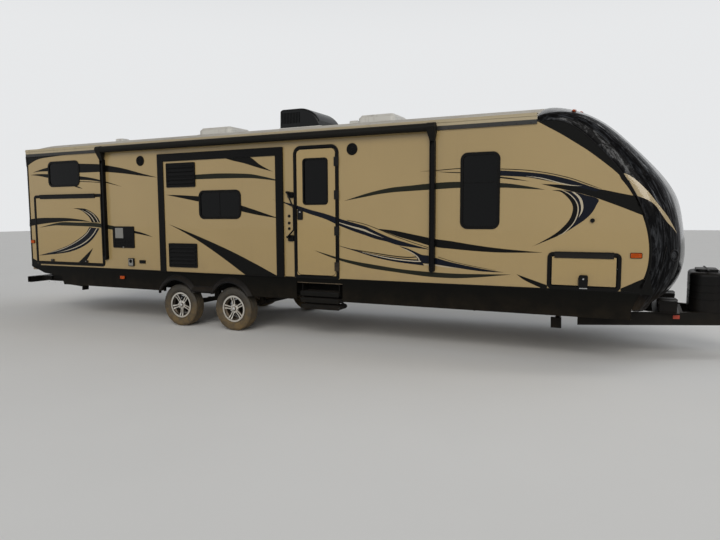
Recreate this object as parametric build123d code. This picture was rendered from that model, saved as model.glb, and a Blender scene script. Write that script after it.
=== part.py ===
from build123d import *
import math
import os

# Travel caravan, tandem axle, parked on its wheels and tongue jack.
# Millimetres. +X forward to the coupler, +Y to the off side, +Z up, ground at Z = 0.
# While the pieces are made, X is the station: the distance forward of the rear wall.
# The camp side, with the entry door, is at -Y. It is side -1, and the off side is +1.

# Body shell
BODY_WIDTH = 2440
WALL = 50
FLOOR_TOP = 848
FLOOR_THICK = 70
SKIRT_BOTTOM = 545
SKIRT_THICK = 20
EAVE = 2765
CROWN = 3055
EAVE_RADIUS = 75
ROOF_THICK = 45
RAIL_TAIL = 10
EAVE_RAIL = 20
EAVE_RAIL_LOW = EAVE - 27
EAVE_RAIL_TOP = EAVE + 97
EAVE_LIP = 8
EAVE_GUTTER = EAVE + 60
CAP_STATION = 8669
CAP_THICK = 45
SEAM = 2.0
HALF = BODY_WIDTH / 2
FLOOR_BOTTOM = FLOOR_TOP - FLOOR_THICK

# Running gear
REAR_AXLE = 3312
AXLE_SPREAD = 1005
WHEEL_RADIUS = 328
TYRE_INSET = 135
WHEEL_TRACK = BODY_WIDTH - 2 * TYRE_INSET
TYRE_WIDTH = 205
RIM_RADIUS = 198
RIM_WIDTH = 158
RIM_FLANGE = 8
BEAD_RADIUS = 180
HUB_RADIUS = 72
HUB_FACE_INSET = 18
SPINDLE_RADIUS = 22
RUN_GAP = 0.3
AXLE_TUBE_RADIUS = 38
SPOKES = 5
LUG_CIRCLE = 57
LUG_HOLE = 11
# Turn of each axle's wheels from a spoke pair at the top, degrees to the rear
WHEEL_TURNS = {"rear": 34, "front": 10}

# Chassis
RAIL_INSET = 340
RAIL_HALF_GAUGE = HALF - RAIL_INSET
RAIL_FLANGE = 90
RAIL_WEB = 12
RAIL_BOTTOM = 552
DRAWBAR_DEPTH = 152
DRAWBAR_WIDTH = 60
DRAWBAR_WEB = 9
DRAWBAR_REAR = 9130
COUPLER_STATION = 11230
COUPLER_BORE = 30.0
COUPLER_BORE_DEPTH = 30
BUMPER_TUBE = 102
BUMPER_BACK = -262

# Overall length runs from the bumper's back to the coupler's tip
COUPLER_TIP = COUPLER_STATION + 78
MID_LENGTH = (BUMPER_BACK + COUPLER_TIP) / 2

# Wheel flares
FLARE_RADIUS = 430
ARCH_RADIUS = 350
FLARE_CENTRE_Z = 375
FLARE_PROUD = 50
FLARE_LIP = 18
FLARE_EDGE = 6
FLARE_BRIDGE = SKIRT_BOTTOM + 25

# Doors and hatches
DOOR_GAP = 8
LEAF = 36
LEAF_PROUD = 8
FRAME_PROUD = 12
FRAME_FACE = 38
FRAME_SILL = 4
JAMB = 10
HINGE_RADIUS = 7
HINGE_PLATE = 4
HINGE_LAP = 20
HINGE_Y = -HALF - FRAME_PROUD - HINGE_RADIUS - RUN_GAP

# Slide-out room
SLIDE_REAR = 3120
SLIDE_FRONT = 5146
SLIDE_BOTTOM = 856
SLIDE_TOP = 2535
SLIDE_DEPTH = 950
SLIDE_WALL = 40
SLIDE_CLEAR = 12
SLIDE_FLANGE = 116
SLIDE_FLANGE_LOW = 8

# Roof fittings, heights above the crown
AC_HEIGHT = 275
VENT_HEIGHT = 103
ROOF_SINK = 60


def block(x0, x1, y0, y1, z0, z1):
    """Plain box between two corners."""
    return Pos((x0 + x1) / 2, (y0 + y1) / 2, (z0 + z1) / 2) * Box(x1 - x0, y1 - y0, z1 - z0)


def wall_face(x0, x1, z0, z1, radius, y):
    """Rounded rectangle that stands in the plane of a side wall."""
    plane = Plane(origin=((x0 + x1) / 2, y, (z0 + z1) / 2), x_dir=(1, 0, 0), z_dir=(0, -1, 0))
    if radius <= 0:
        return plane * Rectangle(x1 - x0, z1 - z0)
    return plane * RectangleRounded(x1 - x0, z1 - z0, radius)


def panel(x0, x1, z0, z1, radius, y0, y1):
    """Rounded rectangular plate from y0 to y1."""
    return extrude(wall_face(x0, x1, z0, z1, radius, y1), amount=y1 - y0)


def profile(points, y0, y1):
    """Plate with a polygon outline in X and Z, from y0 to y1."""
    plane = Plane(origin=(0, y1, 0), x_dir=(1, 0, 0), z_dir=(0, -1, 0))
    return extrude(plane * make_face(Polyline(*points, close=True)), amount=y1 - y0)


def arched(x0, x1, z0, z1, top_radius, bottom_radius, y0, y1):
    """Plate whose upper corners have a larger radius than its lower ones."""
    outline = Rectangle(x1 - x0, z1 - z0)
    outline = fillet(outline.vertices().group_by(Axis.Y)[-1], top_radius)
    outline = fillet(outline.vertices().group_by(Axis.Y)[0], bottom_radius)
    plane = Plane(origin=((x0 + x1) / 2, y1, (z0 + z1) / 2), x_dir=(1, 0, 0), z_dir=(0, -1, 0))
    return extrude(plane * outline, amount=y1 - y0)


def rod(x, y, z, radius, length, axis):
    """Round bar centred on a point."""
    turn = {"X": Rot(0, 90, 0), "Y": Rot(90, 0, 0), "Z": Rot(0, 0, 0)}[axis]
    return Pos(x, y, z) * turn * Cylinder(radius, length)


def tube(x, y, z, radius, bore, length, axis):
    """Round tube centred on a point."""
    return rod(x, y, z, radius, length, axis) - rod(x, y, z, bore, length + 2, axis)


def both_sides(shape):
    """A piece and its mirror image across the centreline."""
    return Compound([shape, mirror(shape, about=Plane.XZ)])


def crowned_curve(half, rise, radius):
    """Corner arc, crown arc and corner arc over a base line: the points that fix them."""
    flat = half - radius
    crown_radius = (flat * flat + rise * rise - radius * radius) / (2 * (rise - radius))
    centre = rise - crown_radius
    span = math.hypot(flat, -centre)
    tangent = (flat * crown_radius / span, centre - centre * crown_radius / span)
    half_turn = math.atan2(-centre, flat) / 2
    corner = (flat + radius * math.cos(half_turn), radius * math.sin(half_turn))
    return tangent, corner


def crowned_face(base_x, base_z, crest_x, crest_z, radius, wall):
    """Closed section of the shell in the fan plane from its base line to its crest."""
    lean = Vector(crest_x - base_x, 0, crest_z - base_z)
    plane = Plane(origin=(base_x, 0, base_z), x_dir=(0, 1, 0), z_dir=Vector(0, 1, 0).cross(lean))
    rise = lean.length
    tangent, corner = crowned_curve(HALF, rise, radius)
    edges = [
        ThreePointArc((HALF, 0), corner, tangent),
        ThreePointArc(tangent, (0, rise), (-tangent[0], tangent[1])),
        ThreePointArc((-tangent[0], tangent[1]), (-corner[0], corner[1]), (-HALF, 0)),
    ]
    if wall <= 0:
        edges.append(Line((-HALF, 0), (HALF, 0)))
        return plane * make_face(edges)
    inner = HALF - wall
    tangent, corner = crowned_curve(inner, rise - wall, max(radius - wall, 20))
    edges += [
        Line((-HALF, 0), (-inner, 0)),
        ThreePointArc((-inner, 0), (-corner[0], corner[1]), (-tangent[0], tangent[1])),
        ThreePointArc((-tangent[0], tangent[1]), (0, rise - wall), tangent),
        ThreePointArc(tangent, corner, (inner, 0)),
        Line((inner, 0), (HALF, 0)),
    ]
    return plane * make_face(edges)


CAP_LOW = 650

# Front cap: base station, base height, crest station, crest height, corner radius
CAP_SECTIONS = [
    (CAP_STATION, EAVE, CAP_STATION, CROWN, EAVE_RADIUS),
    (8860, EAVE, 8870, 3036, 110),
    (9077, 2675, 9200, 2905, 170),
    (9400, 2370, 9600, 2590, 240),
    (9656, 2032, 9970, 2195, 290),
    (9848, 1591, 10212, 1700, 310),
    (9892, 1286, 10262, 1340, 300),
    (9866, 1052, 10236, 1040, 280),
    (9812, 900, 10150, 850, 240),
    (9755, 760, 10030, 740, 170),
    (9715, CAP_LOW, 9905, 655, 110),
]


def cap_loft(wall, setback):
    """Loft of the cap's sections, hollow or filled, moved back by a seam."""
    rows = [(bx - setback, bz, cx, cz, r) for bx, bz, cx, cz, r in CAP_SECTIONS]
    return loft([crowned_face(*row, wall) for row in rows])


def make_cap():
    return cap_loft(CAP_THICK, 0)


def trim_to_cap(shape):
    """Cut a body piece back to the seam with the cap and keep what lies behind it."""
    return (shape - CAP_FILLED).solids().sort_by(Axis.X)[0]


# Openings of the side walls: name, rear, front, bottom, top, corner radius
CAMP_OPENINGS = [
    ("kitchen", 147, 1793, 884, 2075, 60),
    ("bunk_window", 534, 1286, 2209, 2638, 96),
    ("front_window", 7778, 8257, 1536, 2452, 90),
    ("baggage", 8815, 9601, 854, 1281, 62),
]
OFF_OPENINGS = [
    ("bunk_window", 534, 1286, 2209, 2638, 96),
    ("dinette_window", 3420, 4720, 1560, 2280, 90),
    ("galley_window", 5560, 6160, 1850, 2330, 90),
    ("front_window", 7778, 8257, 1536, 2452, 90),
    ("baggage", 8815, 9601, 854, 1281, 62),
]
ENTRY = (5427, 6123, FLOOR_TOP - FRAME_SILL, 2649)
ENTRY_TOP_RADIUS = 115
ENTRY_BOTTOM_RADIUS = 30
WINDOW_RIM = 26
FRAME_STEP = FRAME_FACE + DOOR_GAP
LEAF_RADIUS = 8


def opening_cut(row, side):
    """Hole through a side wall that the frame's jamb lines."""
    name, x0, x1, z0, z1, radius = row
    edge = FRAME_FACE - JAMB if name in ("kitchen", "baggage") else WINDOW_RIM
    r = max(radius - edge, LEAF_RADIUS)
    cut = panel(x0 + edge, x1 - edge, z0 + edge, z1 - edge, r, -HALF - 50, -HALF + WALL + 50)
    return cut if side < 0 else mirror(cut, about=Plane.XZ)


def entry_plate(inset, y0, y1):
    """Plate with the entry door's outline, drawn in by an inset."""
    x0, x1, z0, z1 = ENTRY
    top = max(ENTRY_TOP_RADIUS - inset, LEAF_RADIUS)
    bottom = max(ENTRY_BOTTOM_RADIUS - inset, LEAF_RADIUS)
    return arched(x0 + inset, x1 - inset, z0 + inset, z1 - inset, top, bottom, y0, y1)


def make_side_wall(side):
    wall = block(0, COUPLER_STATION, -HALF, -HALF + WALL, FLOOR_TOP, EAVE)
    wall = wall & WALL_REACH
    wall = trim_to_cap(wall)
    if side > 0:
        wall = mirror(wall, about=Plane.XZ)
    for row in CAMP_OPENINGS if side < 0 else OFF_OPENINGS:
        wall -= opening_cut(row, side)
    if side < 0:
        wall -= entry_plate(FRAME_FACE - JAMB, -HALF - 50, -HALF + WALL + 50)
        wall -= block(
            SLIDE_REAR - SLIDE_CLEAR,
            SLIDE_FRONT + SLIDE_CLEAR,
            -HALF - 50,
            -HALF + WALL + 50,
            FLOOR_TOP - 50,
            SLIDE_TOP + SLIDE_CLEAR,
        )
    return wall


def make_rear_wall():
    inner = HALF - WALL
    return block(0, WALL, -inner, inner, FLOOR_TOP, EAVE)


def make_roof():
    section = crowned_face(0, EAVE, 0, CROWN, EAVE_RADIUS, ROOF_THICK)
    shell = extrude(section, amount=CAP_STATION - SEAM, dir=(1, 0, 0))
    end = crowned_face(0, EAVE, 0, CROWN, EAVE_RADIUS, 0)
    return shell + extrude(end, amount=WALL, dir=(1, 0, 0))


def make_roof_rails():
    """Gutter rails along the eaves: an outer web, a drip lip below and a flange on the roof's edge."""
    front = CAP_STATION - SEAM
    face = -HALF - EAVE_RAIL
    rail = block(RAIL_TAIL, front, face, -HALF, EAVE_RAIL_LOW, EAVE_RAIL_TOP)
    rail += block(RAIL_TAIL, front, face - EAVE_LIP, face, EAVE_GUTTER, EAVE_GUTTER + 22)
    rail += block(RAIL_TAIL, front, -HALF, -HALF + 70, EAVE_RAIL_TOP - 7, EAVE_RAIL_TOP)
    return both_sides(rail - ROOF_FILLED)


def make_floor():
    wide = HALF - SKIRT_THICK
    slab = trim_to_cap(block(0, COUPLER_STATION, -wide, wide, FLOOR_BOTTOM, FLOOR_TOP))
    strips = [
        block(x, x + 60, -HALF + WALL, -HALF + WALL + 1100, FLOOR_TOP, SLIDE_BOTTOM - RUN_GAP)
        for x in (SLIDE_REAR + 200, (SLIDE_REAR + SLIDE_FRONT) / 2 - 30, SLIDE_FRONT - 260)
    ]
    for strip in strips:
        slab += strip
    return slab


def flare_arc(centre_x, radius, y0, y1):
    return rod(centre_x, (y0 + y1) / 2, FLARE_CENTRE_Z, radius, y1 - y0, "Y")


AXLES = {"rear": REAR_AXLE, "front": REAR_AXLE + AXLE_SPREAD}
STEP_REAR = 5450
STEP_FRONT = 6165
STEP_CUT_TOP = 790
# Rear end of the skirt, cut up for the departure angle: station, height
TAIL_CUT = [(0, 830), (40, 815), (192, 768), (317, 725), (745, 685), (790, SKIRT_BOTTOM)]


def make_skirts():
    """Skirt panels, with seams over the wheels and beside the steps."""
    points = [(0, FLOOR_TOP), *TAIL_CUT]
    points += [(COUPLER_STATION, SKIRT_BOTTOM), (COUPLER_STATION, FLOOR_TOP)]
    plate = profile(points, -HALF, -HALF + SKIRT_THICK)
    plate = trim_to_cap(plate & WALL_REACH)
    for x in AXLES.values():
        plate -= flare_arc(x, ARCH_RADIUS, -HALF - 50, -HALF + 50)
    for x in (*AXLES.values(), STEP_REAR, STEP_FRONT):
        plate -= block(x - SEAM / 2, x + SEAM / 2, -HALF - 50, -HALF + 50, 0, FLOOR_TOP + 50)
    off = mirror(plate, about=Plane.XZ)
    plate -= block(STEP_REAR - 1, STEP_FRONT + 1, -HALF - 50, -HALF + 50, 0, STEP_CUT_TOP)
    return Compound([*plate.solids(), *off.solids()])


def flare_section(start):
    """Section of the flare from its lip outwards: distance from the wheel, height over the wall."""
    reach = start + FLARE_RADIUS - ARCH_RADIUS
    lip = start + FLARE_LIP
    points = [(start, 0), (start, FLARE_PROUD), (lip, FLARE_PROUD), (lip + 12, FLARE_PROUD - 8)]
    return points + [(reach - 14, FLARE_EDGE), (reach, FLARE_EDGE), (reach, 0)]


def make_flares():
    """Double-arch wheel flare: a turned lip round each wheel and the same lip across the bridge."""
    section = [(r, -HALF - h) for r, h in flare_section(ARCH_RADIUS)]
    arch = revolve(Plane.XY * make_face(Polyline(*section, close=True)), Axis.Y)
    shape = None
    for x in AXLES.values():
        placed = Pos(x, 0, FLARE_CENTRE_Z) * arch
        shape = placed if shape is None else shape + placed
    rise = FLARE_BRIDGE - FLARE_CENTRE_Z
    start = REAR_AXLE + math.sqrt(ARCH_RADIUS**2 - rise**2) - 20
    end = 2 * REAR_AXLE + AXLE_SPREAD - start
    plane = Plane(origin=(start, 0, 0), x_dir=(0, 1, 0), z_dir=(1, 0, 0))
    bridge = [(-HALF - h, z) for z, h in flare_section(FLARE_BRIDGE)]
    shape += extrude(plane * make_face(Polyline(*bridge, close=True)), amount=end - start)
    for x in AXLES.values():
        shape -= flare_arc(x, ARCH_RADIUS, -HALF - 2 * FLARE_PROUD, -HALF + FLARE_PROUD)
    rear = REAR_AXLE - 2 * FLARE_RADIUS
    front = REAR_AXLE + AXLE_SPREAD + 2 * FLARE_RADIUS
    low = -FLARE_RADIUS
    shape -= block(rear, front, -HALF - 2 * FLARE_PROUD, -HALF + FLARE_PROUD, low, SKIRT_BOTTOM)
    return both_sides(shape)


# Stabiliser legs, folded: name, pivot station, pivot y, way it lies, droop when folded
LEG_PIVOT_Z = 505
LEG_LENGTH = 470
LEG_PIN = 9
LEG_ROWS = [
    ("rear_camp", 300, 120 - RAIL_HALF_GAUGE, "along", 4),
    ("rear_off", 300, RAIL_HALF_GAUGE - 120, "along", 4),
    ("front_camp", 8890, 410 - RAIL_HALF_GAUGE, "across", 10),
    ("front_off", 8890, RAIL_HALF_GAUGE - 410, "across", 10),
]


def leg_turn(y, way):
    """Turn about the vertical that points a leg forward or outwards."""
    if way == "along":
        return 0
    return -90 if y < 0 else 90


def make_leg_bracket(row):
    """Two ears and a cap plate under a cross member."""
    name, x, y, way, droop = row
    top = RAIL_BOTTOM + 60 - LEG_PIVOT_Z
    ear = block(-30, 30, 32, 40, -20, top)
    ear -= rod(0, 36, 0, LEG_PIN + RUN_GAP, 20, "Y")
    bracket = ear + mirror(ear, about=Plane.XZ) + block(-30, 30, -40, 40, top, top + 10)
    return Pos(x, y, LEG_PIVOT_Z) * Rot(0, 0, leg_turn(y, way)) * bracket


RAIL_REAR = 90
RAIL_FRONT = 9700
CROSS_STATIONS = [130, LEG_ROWS[0][1], 1300, 2400, 2960, 3814, 4670, 5900, 7200, LEG_ROWS[2][1], 9660]
OUTRIGGER_STATIONS = [1300, 2400, 7200, 8400]
CROSS_LOW = RAIL_BOTTOM + 70
CROSS_TALL = 100
STUB_TALL = 80


def make_chassis_rails():
    """Two main rails of I section, with the stubs that carry the bumper."""
    top = FLOOR_BOTTOM
    rail = block(RAIL_REAR, RAIL_FRONT, -RAIL_WEB / 2, RAIL_WEB / 2, RAIL_BOTTOM, top)
    for z in (RAIL_BOTTOM, top - RAIL_WEB):
        rail += block(RAIL_REAR, RAIL_FRONT, -RAIL_FLANGE / 2, RAIL_FLANGE / 2, z, z + RAIL_WEB)
    rail += block(BUMPER_BACK + BUMPER_TUBE, RAIL_REAR, -30, 30, RAIL_BOTTOM, RAIL_BOTTOM + STUB_TALL)
    return both_sides(Pos(0, -RAIL_HALF_GAUGE, 0) * rail)


def make_cross_members():
    """Cross members between the rails, with the leg brackets, and outriggers beside the rails."""
    inner = RAIL_HALF_GAUGE - RAIL_WEB / 2
    pieces = []
    for x in CROSS_STATIONS:
        bar = block(x - 20, x + 20, -inner, inner, CROSS_LOW, CROSS_LOW + CROSS_TALL)
        for row in LEG_ROWS:
            if row[1] == x:
                bar += make_leg_bracket(row)
        pieces.append(bar)
    top = FLOOR_BOTTOM - RAIL_WEB
    for x in OUTRIGGER_STATIONS:
        arm = block(x - 15, x + 15, -HALF + SKIRT_THICK, -inner - RAIL_WEB, top - 90, top)
        pieces += [arm, mirror(arm, about=Plane.XZ)]
    return Compound(pieces)


def make_bumper():
    z = RAIL_BOTTOM + 30
    x = BUMPER_BACK + BUMPER_TUBE / 2
    outer = Pos(x, 0, z) * Box(BUMPER_TUBE, 2260, BUMPER_TUBE)
    outer = fillet(outer.edges().filter_by(Axis.Y), 10)
    return outer - Pos(x, 0, z) * Box(BUMPER_TUBE - 8, 2262, BUMPER_TUBE - 8)


DRAWBAR_TOP = RAIL_BOTTOM
DRAWBAR_BOTTOM = DRAWBAR_TOP - DRAWBAR_DEPTH
DRAWBAR_CROSS_STATIONS = (9300, 10240)
JACK_STATION = 10820
COUPLER_NOSE_HALF = 55


def drawbar_half_gap(station):
    """Distance from the centreline to the middle of a drawbar rail."""
    share = (COUPLER_STATION - 90 - station) / (COUPLER_STATION - 90 - DRAWBAR_REAR)
    return COUPLER_NOSE_HALF + (RAIL_HALF_GAUGE - COUPLER_NOSE_HALF) * share


def drawbar_strip(side, inner, outer, low, high):
    """Straight strip along one drawbar rail, between two offsets from its middle."""
    front = COUPLER_STATION - 90
    points = []
    for x, edge in ((DRAWBAR_REAR, inner), (front, inner), (front, outer), (DRAWBAR_REAR, outer)):
        points.append((x, side * (drawbar_half_gap(x) + edge)))
    foot = Plane(origin=(0, 0, low)) * make_face(Polyline(*points, close=True))
    return extrude(foot, amount=high - low)


def make_drawbar():
    """A-frame of two channels under the main rails, with its cross bars and jack plate."""
    half = DRAWBAR_WIDTH / 2
    frame = None
    for side in (-1, 1):
        rail = drawbar_strip(side, -half, half, DRAWBAR_BOTTOM, DRAWBAR_TOP)
        low = DRAWBAR_BOTTOM + DRAWBAR_WEB
        rail -= drawbar_strip(side, -half - 1, half - DRAWBAR_WEB, low, DRAWBAR_TOP - DRAWBAR_WEB)
        frame = rail if frame is None else frame + rail
    for x in DRAWBAR_CROSS_STATIONS:
        gap = drawbar_half_gap(x + 20) + half - DRAWBAR_WEB / 2
        frame += block(x - 20, x + 20, -gap, gap, DRAWBAR_BOTTOM + 30, DRAWBAR_TOP - 10)
    gap = drawbar_half_gap(JACK_STATION)
    plate = block(JACK_STATION - 90, JACK_STATION + 90, -gap, gap, DRAWBAR_TOP - 10, DRAWBAR_TOP)
    plate -= rod(JACK_STATION, 0, DRAWBAR_TOP, 33, 60, "Z")
    return frame + plate


def make_coupler():
    """Coupler on a plate over the drawbar's nose: a raised body, the ball socket and its latch."""
    z = DRAWBAR_TOP
    tip = COUPLER_STATION
    rear = tip - 230
    wide = drawbar_half_gap(rear) + DRAWBAR_WIDTH / 2
    nose_half = 58
    plan = [(rear, -wide), (tip - 60, -nose_half), (tip, -nose_half)]
    plan += [(x, -y) for x, y in reversed(plan)]
    body = extrude(Plane(origin=(0, 0, z)) * make_face(Polyline(*plan, close=True)), amount=10)
    body += profile([(tip - 190, z), (tip - 130, z + 48), (tip, z + 60), (tip, z)], -42, 42)
    body += rod(tip, 0, z + 25, nose_half, 70, "Z") + Pos(tip, 0, z + 60) * Sphere(40)
    body += block(tip - 30, COUPLER_TIP, -22, 22, z + 5, z + 45)
    low = z - 10
    body -= rod(tip, 0, low + COUPLER_BORE_DEPTH / 2, COUPLER_BORE, COUPLER_BORE_DEPTH, "Z")
    body -= Pos(tip, 0, low + COUPLER_BORE_DEPTH) * Sphere(COUPLER_BORE)
    lever = [(tip - 150, z + 70), (tip - 140, z + 84), (tip - 60, z + 94), (tip - 45, z + 80)]
    lever += [(tip - 45, z + 40), (tip - 75, z + 40)]
    return body + profile(lever, -10, 10) + rod(tip - 60, 0, z + 75, 12, 44, "Y")


JACK_TUBE = 32
JACK_LEG = 25
JACK_BOTTOM = 330
JACK_HEAD = 1010
FOOT_THICK = 10


def make_jack():
    """Jack tube with its weld collar and its power head."""
    outer = tube(JACK_STATION, 0, (JACK_BOTTOM + 960) / 2, JACK_TUBE, JACK_LEG + 1, 960 - JACK_BOTTOM, "Z")
    collar = tube(JACK_STATION, 0, DRAWBAR_TOP + 9, 62, JACK_TUBE, 18, "Z")
    head = block(JACK_STATION - 75, JACK_STATION + 75, -55, 55, 960, 1120)
    head = fillet(head.edges().filter_by(Axis.Z), 25)
    head = fillet(head.faces().sort_by(Axis.Z)[-1].edges(), 15)
    return outer + collar + head


def make_jack_leg():
    leg = rod(JACK_STATION, 0, (FOOT_THICK + 600) / 2, JACK_LEG, 600 - FOOT_THICK, "Z")
    foot = Pos(JACK_STATION, 0, FOOT_THICK / 2) * Box(150, 150, FOOT_THICK)
    foot = fillet(foot.edges().filter_by(Axis.Z), 20)
    return leg + foot


def wheel_profile(points):
    """Closed half-section of a wheel: radius across, width along the axle."""
    return Plane.XY * make_face(Polyline(*points, close=True))


def make_tyre(x, y):
    half = TYRE_WIDTH / 2
    bead = BEAD_RADIUS + 0.2
    seat = RIM_WIDTH / 2 - RIM_FLANGE - 0.2
    points = [(bead, -seat), (RIM_RADIUS + 3, -seat), (RIM_RADIUS + 45, -half)]
    points += [(WHEEL_RADIUS - 40, -half + 3), (WHEEL_RADIUS, -half + 28)]
    points += [(r, -w) for r, w in reversed(points)]
    return Pos(x, y, WHEEL_RADIUS) * revolve(wheel_profile(points), Axis.Y)


def make_spoke(lean):
    """One of a pair of spokes: narrow and set back at the hub, wider and further out at the well."""
    half = RIM_WIDTH / 2
    sections = []
    for r, aside, out, wide, deep in (
        (HUB_RADIUS - 10, 15, half - 40, 18, 30),
        ((HUB_RADIUS + BEAD_RADIUS) / 2, 18, half - 36, 17, 26),
        (BEAD_RADIUS - 9, 24, half - 24, 24, 26),
    ):
        plane = Plane(origin=(lean * aside, out, r), x_dir=(1, 0, 0), z_dir=(0, 0, 1))
        sections.append(plane * Rectangle(wide, deep))
    return loft(sections, ruled=True)


def make_rim(x, y, turn):
    """Alloy rim with paired spokes, its hub bored for the spindle."""
    half = RIM_WIDTH / 2
    r = BEAD_RADIUS
    step = half - RIM_FLANGE
    points = [(RIM_RADIUS, -half), (r - 8, -half), (r - 8, -half + 20), (r - 28, -half + 40)]
    points += [(r - 28, half - 40), (r - 8, half - 20), (r - 8, half), (RIM_RADIUS, half)]
    points += [(RIM_RADIUS, step), (r, step), (r, half - 28), (r - 20, half - 46)]
    points += [(r - 20, -half + 46), (r, -half + 28), (r, -step), (RIM_RADIUS, -step)]
    rim = revolve(wheel_profile(points), Axis.Y)
    face = half - HUB_FACE_INSET
    inner_end = half - 86
    hub = [(0, inner_end), (HUB_RADIUS - 6, inner_end), (HUB_RADIUS, face - 16), (HUB_RADIUS - 6, face - 6)]
    hub += [(34, face), (31, face + 12), (24, face + 16), (0, face + 17)]
    rim += revolve(wheel_profile(hub), Axis.Y)
    for k in range(SPOKES):
        for lean in (-1, 1):
            rim += Rot(0, k * 360 / SPOKES, 0) * make_spoke(lean)
        lug = Rot(0, (k + 0.5) * 360 / SPOKES, 0) * Pos(0, face, LUG_CIRCLE) * Rot(90, 0, 0)
        rim -= lug * Cylinder(LUG_HOLE, 24)
    bore_end = half - 34
    rim -= rod(0, (bore_end + inner_end) / 2, 0, SPINDLE_RADIUS + RUN_GAP, bore_end - inner_end, "Y")
    if y < 0:
        rim = mirror(rim, about=Plane.XZ)
    return Pos(x, y, WHEEL_RADIUS) * Rot(0, -turn, 0) * rim


SPRING_HALF = 330
SPRING_SEAT_TOP = 45
LEAF_WIDTH = 45
SPRING_LEAF = 8
SPRING_RISE = 22
# Half-lengths of the leaves, from the top one down
SPRING_LEAVES = (SPRING_HALF, 250, 180, 110)
EYE_RADIUS = 20
HANGER_WALL = 6


def make_axle(x):
    """Straight axle tube with spindles, brake plates and spring seats."""
    half_track = WHEEL_TRACK / 2
    plate_y = half_track - 62
    axle = rod(x, 0, WHEEL_RADIUS, AXLE_TUBE_RADIUS, 2 * plate_y, "Y")
    reach = half_track + RIM_WIDTH / 2 - 26 - 10
    axle += rod(x, 0, WHEEL_RADIUS, SPINDLE_RADIUS, 2 * reach, "Y")
    for side in (-1, 1):
        axle += rod(x, side * (plate_y - 6), WHEEL_RADIUS, 128, 12, "Y")
        seat_z = WHEEL_RADIUS + SPRING_SEAT_TOP - 15
        axle += Pos(x, side * RAIL_HALF_GAUGE, seat_z) * Box(100, LEAF_WIDTH + 5, 30)
    return axle


def spring_leaf(x, z, half_length, order, y0, y1):
    """Curved leaf whose ends rise, a given number of leaves below the top one."""
    sweep_radius = (SPRING_HALF**2 + SPRING_RISE**2) / (2 * SPRING_RISE)
    centre_z = z + sweep_radius
    edges = []
    ends = []
    for r in (sweep_radius + SPRING_LEAF * (order - 0.5), sweep_radius + SPRING_LEAF * (order + 0.5)):
        drop = math.sqrt(r * r - half_length**2)
        left, right = (x - half_length, centre_z - drop), (x + half_length, centre_z - drop)
        edges.append(ThreePointArc(left, (x, centre_z - r), right))
        ends.append((left, right))
    edges += [Line(ends[0][0], ends[1][0]), Line(ends[0][1], ends[1][1])]
    plane = Plane(origin=(0, y1, 0), x_dir=(1, 0, 0), z_dir=(0, -1, 0))
    return extrude(plane * make_face(edges), amount=y1 - y0)


def make_springs():
    """Leaf packs over the axles, their hangers and the equalisers between them."""
    count = len(SPRING_LEAVES)
    z_top_leaf = WHEEL_RADIUS + SPRING_SEAT_TOP + RUN_GAP + SPRING_LEAF * (count - 0.5)
    eye_z = z_top_leaf + SPRING_RISE
    mid = REAR_AXLE + AXLE_SPREAD / 2
    y = -RAIL_HALF_GAUGE
    y0 = y - LEAF_WIDTH / 2
    y1 = y + LEAF_WIDTH / 2
    wide = LEAF_WIDTH + 2 * HANGER_WALL + 4
    pieces = None
    for x in AXLES.values():
        for order, half_length in enumerate(SPRING_LEAVES):
            leaf = spring_leaf(x, z_top_leaf, half_length, order, y0, y1)
            pieces = leaf if pieces is None else pieces + leaf
        for end in (-1, 1):
            pieces += rod(x + end * SPRING_HALF, y, eye_z, EYE_RADIUS, LEAF_WIDTH, "Y")
    hangers = (REAR_AXLE - SPRING_HALF, mid, REAR_AXLE + AXLE_SPREAD + SPRING_HALF)
    for x in hangers:
        half = 45 if x == mid else 32
        low = eye_z - 30
        hanger = block(x - half, x + half, y - wide / 2, y + wide / 2, low, RAIL_BOTTOM)
        slot = wide / 2 - HANGER_WALL
        hanger -= block(x - half - 1, x + half + 1, y - slot, y + slot, low - 1, RAIL_BOTTOM - HANGER_WALL)
        pieces += hanger + rod(x, y, eye_z, 9, wide, "Y")
    reach = AXLE_SPREAD / 2 - SPRING_HALF
    end = reach + 24
    link = [(mid - end, eye_z - 22), (mid - end, eye_z + 12), (mid - 40, eye_z + 34)]
    link += [(2 * mid - x, z) for x, z in reversed(link)] + [(mid, eye_z - 14)]
    pieces += profile(link, y0 + HANGER_WALL, y1 - HANGER_WALL)
    return both_sides(pieces)


# Entry door
ENTRY_WINDOW = (5586, 5950, 1865, 2465)


def make_entry_frame():
    inner = FRAME_FACE
    ring = entry_plate(0, -HALF - FRAME_PROUD, -HALF) - entry_plate(inner, -HALF - 60, -HALF + 60)
    jamb_out = FRAME_FACE - JAMB
    jamb = entry_plate(jamb_out, -HALF, -HALF + WALL) - entry_plate(inner, -HALF - 60, -HALF + 90)
    return ring + jamb


def make_entry_leaf():
    y0 = -HALF - LEAF_PROUD
    leaf = entry_plate(FRAME_STEP, y0, y0 + LEAF)
    x0, x1, z0, z1 = ENTRY_WINDOW
    leaf -= panel(x0, x1, z0, z1, 40, y0 - 20, y0 + LEAF + 20)
    hinge_x = ENTRY[1]
    edge_x = hinge_x - FRAME_STEP
    for z in (1020, 1500, 1980, 2420):
        leaf += rod(hinge_x, HINGE_Y, z, HINGE_RADIUS, 120, "Z")
        leaf += block(edge_x - HINGE_LAP, hinge_x, HINGE_Y, HINGE_Y + HINGE_PLATE, z - 60, z + 60)
        leaf += block(edge_x - HINGE_LAP, edge_x - 4, HINGE_Y, y0, z - 60, z + 60)
    return leaf


def make_entry_glass():
    x0, x1, z0, z1 = ENTRY_WINDOW
    y0 = -HALF - LEAF_PROUD
    return panel(x0, x1, z0, z1, 40, y0 + 12, y0 + 24)


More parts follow.
